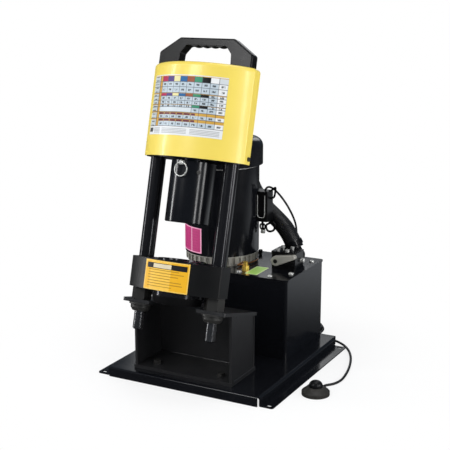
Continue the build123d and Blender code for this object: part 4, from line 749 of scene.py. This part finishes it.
def on_coil(radius, angle, level):
    return (COIL_CENTRE.x + radius * cos(angle), COIL_CENTRE.y + radius * sin(angle), level)


def coil_radius(turn, turns):
    """Radius of a turn: inwards through the lower layer and outwards through the upper one."""
    return COIL_OUTER - COIL_STEP * min(turn, turns - 1 - turn)


def wound_coil(turns):
    """Turns side by side on the floor and as many on top of them; each shifts over in its last two fifths."""
    points = []
    for turn in range(turns):
        here, there = coil_radius(turn, turns), coil_radius(min(turn + 1, turns - 1), turns)
        for k in range(COIL_POINTS):
            part = k / COIL_POINTS
            shift = max(0.0, (part - 0.6) / 0.4)
            wander = 0.25 * sin(5.0 * turn + 2.0 * tau * part)
            climb = min(1.0, max(0.0, turn + 1 - turns // 2 + shift))
            radius = here + (there - here) * shift + wander
            points.append(on_coil(radius, pi - tau * part, CORD_REST + COIL_STEP * climb))
    return points + [on_coil(COIL_OUTER, angle, level) for angle, level in COIL_END]


# The pressure hose, in millimetres: its valve end, its bends from the motor's axis and the lid, and its port.
HOSE_LEAN = radians(29)
VALVE_ELBOW = Vector((113.5, 408.0, LID_TOP + 20.0))
VALVE_FERRULE = 38
HOSE_LEAD = 26
HOSE_BENDS = ((143.5, 58.0, 92.5), (114.5, 74.0, 106.5), (69.0, 104.0, 123.5), (11.5, 136.0, 173.5),
              (-2.5, 140.0, 240.5), (-8.5, 140.0, 295.5), (-10.5, 126.0, 350.5), (-4.5, 78.0, 397.5),
              (29.5, 20.0, 423.5))
CYLINDER_PORT = (0, 62, 492)
PORT_RUN = (78, 34)
# A rib's section: depth under its crest, and place along the hose.
RIB = ((1.2, -1.3), (0.45, -1.15), (0.0, -0.55), (0.0, 0.55), (0.45, 1.15), (1.2, 1.3))
CORE_DEPTH = 0.8


def hose_route():
    """The hose's line from the valve up behind the motor and over to the cylinder, as in the CAD."""
    up = Vector((-sin(HOSE_LEAN), 0, cos(HOSE_LEAN)))
    back = Vector((0, cos(LEAN), -sin(LEAN)))
    start = VALVE_ELBOW + up * VALVE_FERRULE
    route = [tray(*start), tray(*(start + up * HOSE_LEAD))]
    route += [tray(MOTOR.x + x, MOTOR.y + y, LID_TOP + z) for x, y, z in HOSE_BENDS]
    return route + [press(*CYLINDER_PORT) + back * out * MM for out in PORT_RUN]


# Small lines at the control box and the motor's foot. The eyes' points lie in one plane, beside the box.
EYE_PLANE = 385
LEAD_BENDS = ((4, 0, 0), (6, 1, 9), (20, 4, 10), (40, 10, -9), (57, 19, -36), (68, 33, -68), (70, 50, -98))
LEAD_END = (90, 445)
EYES = (
    ("eye_upper", 5.2, ((20, 399), (36, 404), (50, 412), (57, 419), (56, 408), (54, 392), (44, 388),
                        (34, 390))),
    ("eye_lower", 5.4, ((30, 318), (42, 324), (54, 327), (56, 318), (54, 306), (42, 301), (33, 304))),
    ("eye_small", 4.4, ((14, 318), (24, 321), (30, 314), (26, 305), (15, 306))),
)
# The bright U on the box's front is a painted highlight: a thin zinc line drawn where light catches the edge.
HIGHLIGHT_U_FRONT = 366.8
HIGHLIGHT_U = ((15, 398), (15, 372), (15, 346), (17, 341), (25, 339), (33, 341), (35, 346), (35, 372), (35, 398))
TUBE_END = ((27, 278, 18), (20, 283, 21), (8, 290, 12))
TUBE_R = 98.0
TUBE_TURN = range(-40, 13, 6)
TUBE_LEVEL = 4.2

# Turned fittings: rings of radius and height in millimetres.
LID_SCREW = ((0, -12.5), (3.5, -12.5), (3.5, 0), (6.5, 0), (6.5, 1.6), (6.1, 2.7), (5.0, 3.6), (3.6, 4.0),
             (2.1, 3.95, HEX), (2.0, 1.4, HEX), (0, 1.4))
LID_SCREW_PLACES = ((-129, 256), (20, 256), (104, 256), (142, 299), (142, 426), (-129, 447),
                    (-20, 447), (34, 447))
STUD_CREST = ((12.2, -0.9), (12.55, -0.55), (12.55, 0.55), (12.2, 0.9))
STUD_CORE = 12.2
STUD_THREAD = (-67.0, -24.0)
BOWL_SKIRT = ((46, 2), (54.2, 2), (55.6, 3.2), (59.8, 19.4), (46, 19.4), (46, 2))
LEVER_PIVOT = ((0, 0), (5.4, 0), (5.4, 0.7), (4.6, 1.2), (2.6, 1.2, HEX), (2.6, 0.3, HEX), (0, 0.3))
LID_KNOB = ((0, 0), (4.0, 0), (4.0, 4.0), (5.6, 5.0), (5.6, 12.0), (4.4, 13.5), (0, 13.5))
VALVE_PLUG = ((0, -1), (6.0, -1), (6.0, 2.0), (5.0, 2.2), (5.0, 2.2, HEX), (5.0, 8.0, HEX),
              (4.4, 8.6), (0, 8.6))
LEAD_CLAMP = ((0, 0), (5.2, 0), (5.8, 0.8), (5.8, 8.0), (5.0, 9.0), (0, 9.0))


def lid_screws():
    """Button-head socket screws round the lid."""
    carrier = points_object("lid_screw_places", [tray(x, y, LID_TOP) for x, y in LID_SCREW_PLACES])
    prototype = turned("lid_screw", LID_SCREW, segments=24)
    screws = repeated("lid_screws_socket", carrier, prototype, finishes["zinc plate"])
    settle(screws, smooth=35)
    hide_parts("lid_screws")


def stud_threads():
    """Thread crests on the rods' lower ends."""
    for side, name in ((-1, "stud_thread_left"), (1, "stud_thread_right")):
        crest = turned("crest", STUD_CREST, segments=40)
        axis = line("axis", [press(side * ROD_HALF, 0, s) for s in STUD_THREAD], kind="POLY")
        # The threads take the lightened steel whose pale colour paints their highlights.
        thread = repeated(name, axis, crest, finishes["stud steel"], sizes().thread_pitch, STUD_CORE * MM)
        settle(thread, smooth=30)


def small_fittings():
    """Skirt under the bowl, pivot of the lever, knob on the lid and plug in the valve."""
    pivot_place = facing(tray(91.5, 313.0, LID_TOP + 22.5), Vector((0, -1, 0)))
    knob_place = Matrix.Translation(tray(-5.5, 429, LID_TOP))
    plug_place = facing(tray(138.5, 366, LID_TOP + 19), Vector((1, 0, 0)))
    for name, profile, finish, place, segments, slot, body, smooth in (
        ("bowl_skirt", BOWL_SKIRT, "block black", press_matrix(0, 0, 0), 96, "blackened_steel", MACHINE, 40),
        ("lever_pivot", LEVER_PIVOT, "seal rubber", pivot_place, 24, "black_plastic", "lever", 35),
        ("lid_knob", LID_KNOB, "moulded nylon", knob_place, 24, "black_plastic", MACHINE, 35),
        ("valve_plug", VALVE_PLUG, "zinc plate", plug_place, 24, "plated_steel", MACHINE, 35),
    ):
        settle(turned(name, profile, finishes[finish], place, segments), body, smooth)


# The stage: lamps by place in metres, width, height and watts, all turned to the machine's middle.
LAMPS = (
    ("key", (-0.9, -2.2, 1.9), 0.9, 0.9, 24.0),
    ("right strip", (2.1, -1.1, 1.1), 0.25, 1.8, 16.0),
    ("left strip", (-2.0, -1.0, 0.9), 0.25, 1.8, 20.0),
    ("back panel", (-1.1, 3.0, 1.7), 2.0, 1.1, 9.0),
    ("top", (0.2, 0.3, 2.8), 1.2, 1.2, 16.0),
    ("side panel", (2.4, 0.15, 0.7), 0.75, 0.8, 15.0),
)
LAMP_AIM = Vector((0.0, 0.0, 0.35))
CAMERA_PLACE = (1139.7, -1920.4, 930.7)
CAMERA_DOWN, CAMERA_ROUND = 13.49, 28.03
CAMERA_LENS, SENSOR_WIDTH = 82.43, 36.0
FLOOR_REACH = 60
# Radii of the floor's shadow, and of the painted pool of light that glows on the floor in reflections only,
# behind on the right.
SHADOW_NEAR, SHADOW_FAR, SHADOW_WHITE = 0.25, 0.62, 0.72
POOL_CENTRE = (0.95, 1.25, 0.0)
POOL_NEAR, POOL_FAR, POOL_BRIGHT, POOL_DARK = 0.4, 1.3, 0.62, 0.05


def eased_by_distance(tree, centre, near, far, at_near, at_far):
    """A value that eases from one level to another with the distance from a point on the floor."""
    place = add(tree, "ShaderNodeNewGeometry").outputs["Position"]
    away = add(tree, "ShaderNodeVectorMath", {0: place, 1: centre}, operation="DISTANCE").outputs["Value"]
    return add(tree, "ShaderNodeMapRange",
               {"Value": away, "From Min": near, "From Max": far, "To Min": at_near, "To Max": at_far},
               interpolation_type="SMOOTHSTEP").outputs["Result"]


def floor_material():
    """Matt white paper: pure white away from the machine's soft shadow; in reflections it glows as a painted
    pool of light behind on the right, and is dim elsewhere.
    """
    material, tree, shader = blank_material("Studio paper")
    shader.inputs["Base Color"].default_value = (0.85, 0.85, 0.85, 1)
    shader.inputs["Roughness"].default_value = 0.9
    path = add(tree, "ShaderNodeLightPath").outputs
    white = add(tree, "ShaderNodeEmission", {"Color": (1, 1, 1, 1), "Strength": 1.0}).outputs[0]
    share = eased_by_distance(tree, (0.0, 0.0, 0.0), SHADOW_NEAR, SHADOW_FAR, SHADOW_WHITE, 1.0)
    # Painted pool of light: a glow that only reflections see, brightest behind on the right.
    painted_pool_glow = eased_by_distance(tree, POOL_CENTRE, POOL_NEAR, POOL_FAR, POOL_BRIGHT, POOL_DARK)
    dim = add(tree, "ShaderNodeEmission", {"Color": (0.9, 0.95, 1, 1), "Strength": painted_pool_glow}).outputs[0]
    lit = add(tree, "ShaderNodeMixShader", {0: share, 1: shader.outputs[0], 2: white}).outputs[0]
    seen = add(tree, "ShaderNodeMixShader",
               {0: path["Is Camera Ray"], 1: shader.outputs[0], 2: lit}).outputs[0]
    mixed = add(tree, "ShaderNodeMixShader", {0: path["Is Glossy Ray"], 1: seen, 2: dim}).outputs[0]
    tree.links.new(mixed, tree.nodes["Material Output"].inputs["Surface"])
    return material


def studio_world():
    """White to the camera and through glass, dim blue in reflections, and even room light elsewhere."""
    world = bpy.data.worlds.new("studio")
    world.use_nodes = True
    tree = world.node_tree
    tree.nodes.clear()
    path = add(tree, "ShaderNodeLightPath").outputs
    seen = add(tree, "ShaderNodeMath", {0: path["Is Camera Ray"], 1: path["Is Transmission Ray"]},
               operation="MAXIMUM").outputs[0]
    room = add(tree, "ShaderNodeBackground", {"Color": (0.95, 0.97, 1.0, 1), "Strength": 0.62}).outputs[0]
    dim = add(tree, "ShaderNodeBackground", {"Color": (0.6, 0.78, 1.0, 1), "Strength": 0.10}).outputs[0]
    white = add(tree, "ShaderNodeBackground", {"Color": (1, 1, 1, 1), "Strength": 1.0}).outputs[0]
    inner = add(tree, "ShaderNodeMixShader", {0: path["Is Glossy Ray"], 1: room, 2: dim}).outputs[0]
    mixed = add(tree, "ShaderNodeMixShader", {0: seen, 1: inner, 2: white}).outputs[0]
    add(tree, "ShaderNodeOutputWorld", {"Surface": mixed})
    return world


def light_up():
    for name, place, width, height, power in LAMPS:
        light = bpy.data.lights.new(name, "AREA")
        light.shape = "RECTANGLE"
        light.size, light.size_y = width, height
        light.energy = power
        lamp = new_object(name, light)
        lamp.location = place
        lamp.rotation_euler = (LAMP_AIM - Vector(place)).to_track_quat("-Z", "Y").to_euler()


def stand_camera(scene):
    """The camera where the photograph was taken from, as fitted to the tray's corners."""
    camera = bpy.data.cameras.new("camera")
    camera.sensor_width = SENSOR_WIDTH
    camera.lens = CAMERA_LENS
    camera.clip_end = 30.0
    seat = new_object("camera", camera)
    seat.location = tray(*CAMERA_PLACE)
    seat.rotation_euler = (radians(90 - CAMERA_DOWN), 0.0, radians(CAMERA_ROUND))
    scene.camera = seat


# Operators

class CRIMPER_OT_finishes(bpy.types.Operator):
    """Give every CAD piece its finish"""
    bl_idname = "crimper.finishes"
    bl_label = "Finishes"

    def execute(self, context):
        finishes.update({**painted_finishes(), **metal_finishes(), **moulded_finishes()})
        finish_of = {node: finish for finish, nodes in FINISH_NODES.items() for node in nodes}
        for name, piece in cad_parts.items():
            piece.data.materials.clear()
            piece.data.materials.append(finishes[finish_of[name]])
        return {"FINISHED"}


class CRIMPER_OT_foot_cord(bpy.types.Operator):
    """Foot switch cord from the gland through its coil to the switch"""
    bl_idname = "crimper.foot_cord"
    bl_label = "Foot switch cord"

    def execute(self, context):
        run = [(x, y, CORD_REST) for x, y in CORD_RUN]
        route = [tray(*point) for point in CORD_LEAD + wound_coil(sizes().coil_turns) + CORD_DROP + run]
        cord = line("foot_cord_line", route, sizes().cord_diameter, finishes["cord sheath"],
                    resolution=4, sides=3)
        settle(cord)
        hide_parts("foot_cord_lead", "foot_cord_coil", "foot_cord")
        return {"FINISHED"}


class CRIMPER_OT_pressure_hose(bpy.types.Operator):
    """Ribbed pressure hose from the valve round behind the motor to the cylinder"""
    bl_idname = "crimper.pressure_hose"
    bl_label = "Pressure hose"

    def execute(self, context):
        radius = sizes().hose_diameter / 2 / MM
        rib = turned("rib", [(radius - depth, along) for depth, along in RIB], segments=40)
        hose = repeated("pressure_hose_ribbed", line("route", hose_route(), resolution=16), rib,
                        finishes["hose rubber"], sizes().rib_pitch, (radius - CORE_DEPTH) * MM)
        settle(hose, smooth=50)
        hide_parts("pressure_hose")
        return {"FINISHED"}


class CRIMPER_OT_plates(bpy.types.Operator):
    """Printed plates: table on the cover, ruled plates on the die block, the motor and the lid"""
    bl_idname = "crimper.plates"
    bl_label = "Printed plates"

    def execute(self, context):
        for name, surface, columns, rows, film, slot in (
            ("cover_table", round_front(**COVER_FRONT), 40, 8, table_material(), "yellow_paint"),
            ("block_plate", round_front(**BLOCK_FRONT), 24, 4, amber_material(), "black_satin"),
            ("motor_plate", motor_side, 20, 4, pink_material(), "black_satin"),
            ("lid_plate", lid_top, 2, 2, green_material(), "black_paint"),
        ):
            plate = bent_plate(name, surface, columns, rows, sizes().plate_thickness, film)
            settle(plate, smooth=40)
        return {"FINISHED"}


class CRIMPER_OT_control_leads(bpy.types.Operator):
    """Control lead over the hose, wires, a painted highlight line and clamp at the control box, copper tube
    at the motor's foot
    """
    bl_idname = "crimper.control_leads"
    bl_label = "Control leads"

    def execute(self, context):
        black, zinc = finishes["satin black"], finishes["zinc plate"]
        start = Vector((24.0, EYE_PLANE, BOX_TOP))
        route = [tray(*(start + Vector(bend))) for bend in LEAD_BENDS]
        route += [tray(*LEAD_END, LID_TOP + up) for up in (44, 0)]
        lead = line("control_lead", route, sizes().lead_diameter, finishes["cord sheath"],
                    resolution=8, sides=4)
        settle(lead)
        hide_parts("control_cable")
        for name, width, points in EYES:
            points = [tray(x, EYE_PLANE, z) for x, z in points]
            settle(line(name, points, width * MM, black, closed=True, sides=3))
        # Painted highlight: a thin bright zinc U over the box's front.
        highlight_line = line("box_bail", [tray(x, HIGHLIGHT_U_FRONT, z) for x, z in HIGHLIGHT_U], 0.0024, zinc, sides=3)
        settle(highlight_line)
        clamp_place = facing(tray(22, EYE_PLANE, 296), Vector((0.15, 0, 1)).normalized())
        settle(turned("lead_clamp", LEAD_CLAMP, zinc, clamp_place, 24), smooth=40)
        stem = [tray(x, EYE_PLANE, z) for x, z in ((22, 300), (22, 314), (20, 330))]
        settle(line("clamp_stem", stem, 0.006, black, sides=4))
        tube = [tray(x, y, LID_TOP + z) for x, y, z in TUBE_END]
        ring = [(TUBE_R * cos(radians(a)), TUBE_R * sin(radians(a))) for a in TUBE_TURN]
        tube += [tray(MOTOR.x + x, MOTOR.y + y, LID_TOP + TUBE_LEVEL) for x, y in ring]
        settle(line("copper_tube", tube, 0.0036, finishes["copper"], resolution=8, sides=4))
        return {"FINISHED"}


class CRIMPER_OT_fixings(bpy.types.Operator):
    """Socket screws on the lid, threads on the studs, and the small fittings"""
    bl_idname = "crimper.fixings"
    bl_label = "Fixings"

    def execute(self, context):
        lid_screws()
        stud_threads()
        small_fittings()
        return {"FINISHED"}


class CRIMPER_OT_stage(bpy.types.Operator):
    """Floor, backdrop, lamps and the camera at the photograph's angle"""
    bl_idname = "crimper.stage"
    bl_label = "Stage"

    def execute(self, context):
        context.scene.view_settings.view_transform = "Standard"
        mesh = bpy.data.meshes.new("floor")
        reach = FLOOR_REACH
        corners = [(-reach, -reach, 0), (reach, -reach, 0), (reach, reach, 0), (-reach, reach, 0)]
        mesh.from_pydata(corners, [], [(0, 1, 2, 3)])
        new_object("floor", mesh, floor_material())
        context.scene.world = studio_world()
        light_up()
        stand_camera(context.scene)
        return {"FINISHED"}


OPERATORS = (
    CRIMPER_OT_finishes, CRIMPER_OT_foot_cord, CRIMPER_OT_pressure_hose, CRIMPER_OT_plates,
    CRIMPER_OT_control_leads, CRIMPER_OT_fixings, CRIMPER_OT_stage,
)


class CRIMPER_PT_panel(bpy.types.Panel):
    """Sidebar panel with the machine's settings and steps"""
    bl_idname = "CRIMPER_PT_panel"
    bl_label = "Hose Crimper"
    bl_space_type = "VIEW_3D"
    bl_region_type = "UI"
    bl_category = "Crimper"

    def draw(self, context):
        for group in (context.scene.crimper_sizes, context.scene.crimper_colours):
            for key in group.__annotations__:
                self.layout.prop(group, key)
        for operator in OPERATORS:
            self.layout.operator(operator.bl_idname)


CLASSES = (CrimperSizes, CrimperColours) + OPERATORS + (CRIMPER_PT_panel,)


def register():
    for item in CLASSES:
        bpy.utils.register_class(item)
    bpy.types.Scene.crimper_sizes = PointerProperty(type=CrimperSizes)
    bpy.types.Scene.crimper_colours = PointerProperty(type=CrimperColours)


def unregister():
    del bpy.types.Scene.crimper_sizes
    del bpy.types.Scene.crimper_colours
    for item in reversed(CLASSES):
        bpy.utils.unregister_class(item)


def main():
    register()
    bpy.ops.crimper.finishes()
    bpy.ops.crimper.foot_cord()
    bpy.ops.crimper.pressure_hose()
    bpy.ops.crimper.plates()
    bpy.ops.crimper.control_leads()
    bpy.ops.crimper.fixings()
    bpy.ops.crimper.stage()


if __name__ == "__main__":
    main()
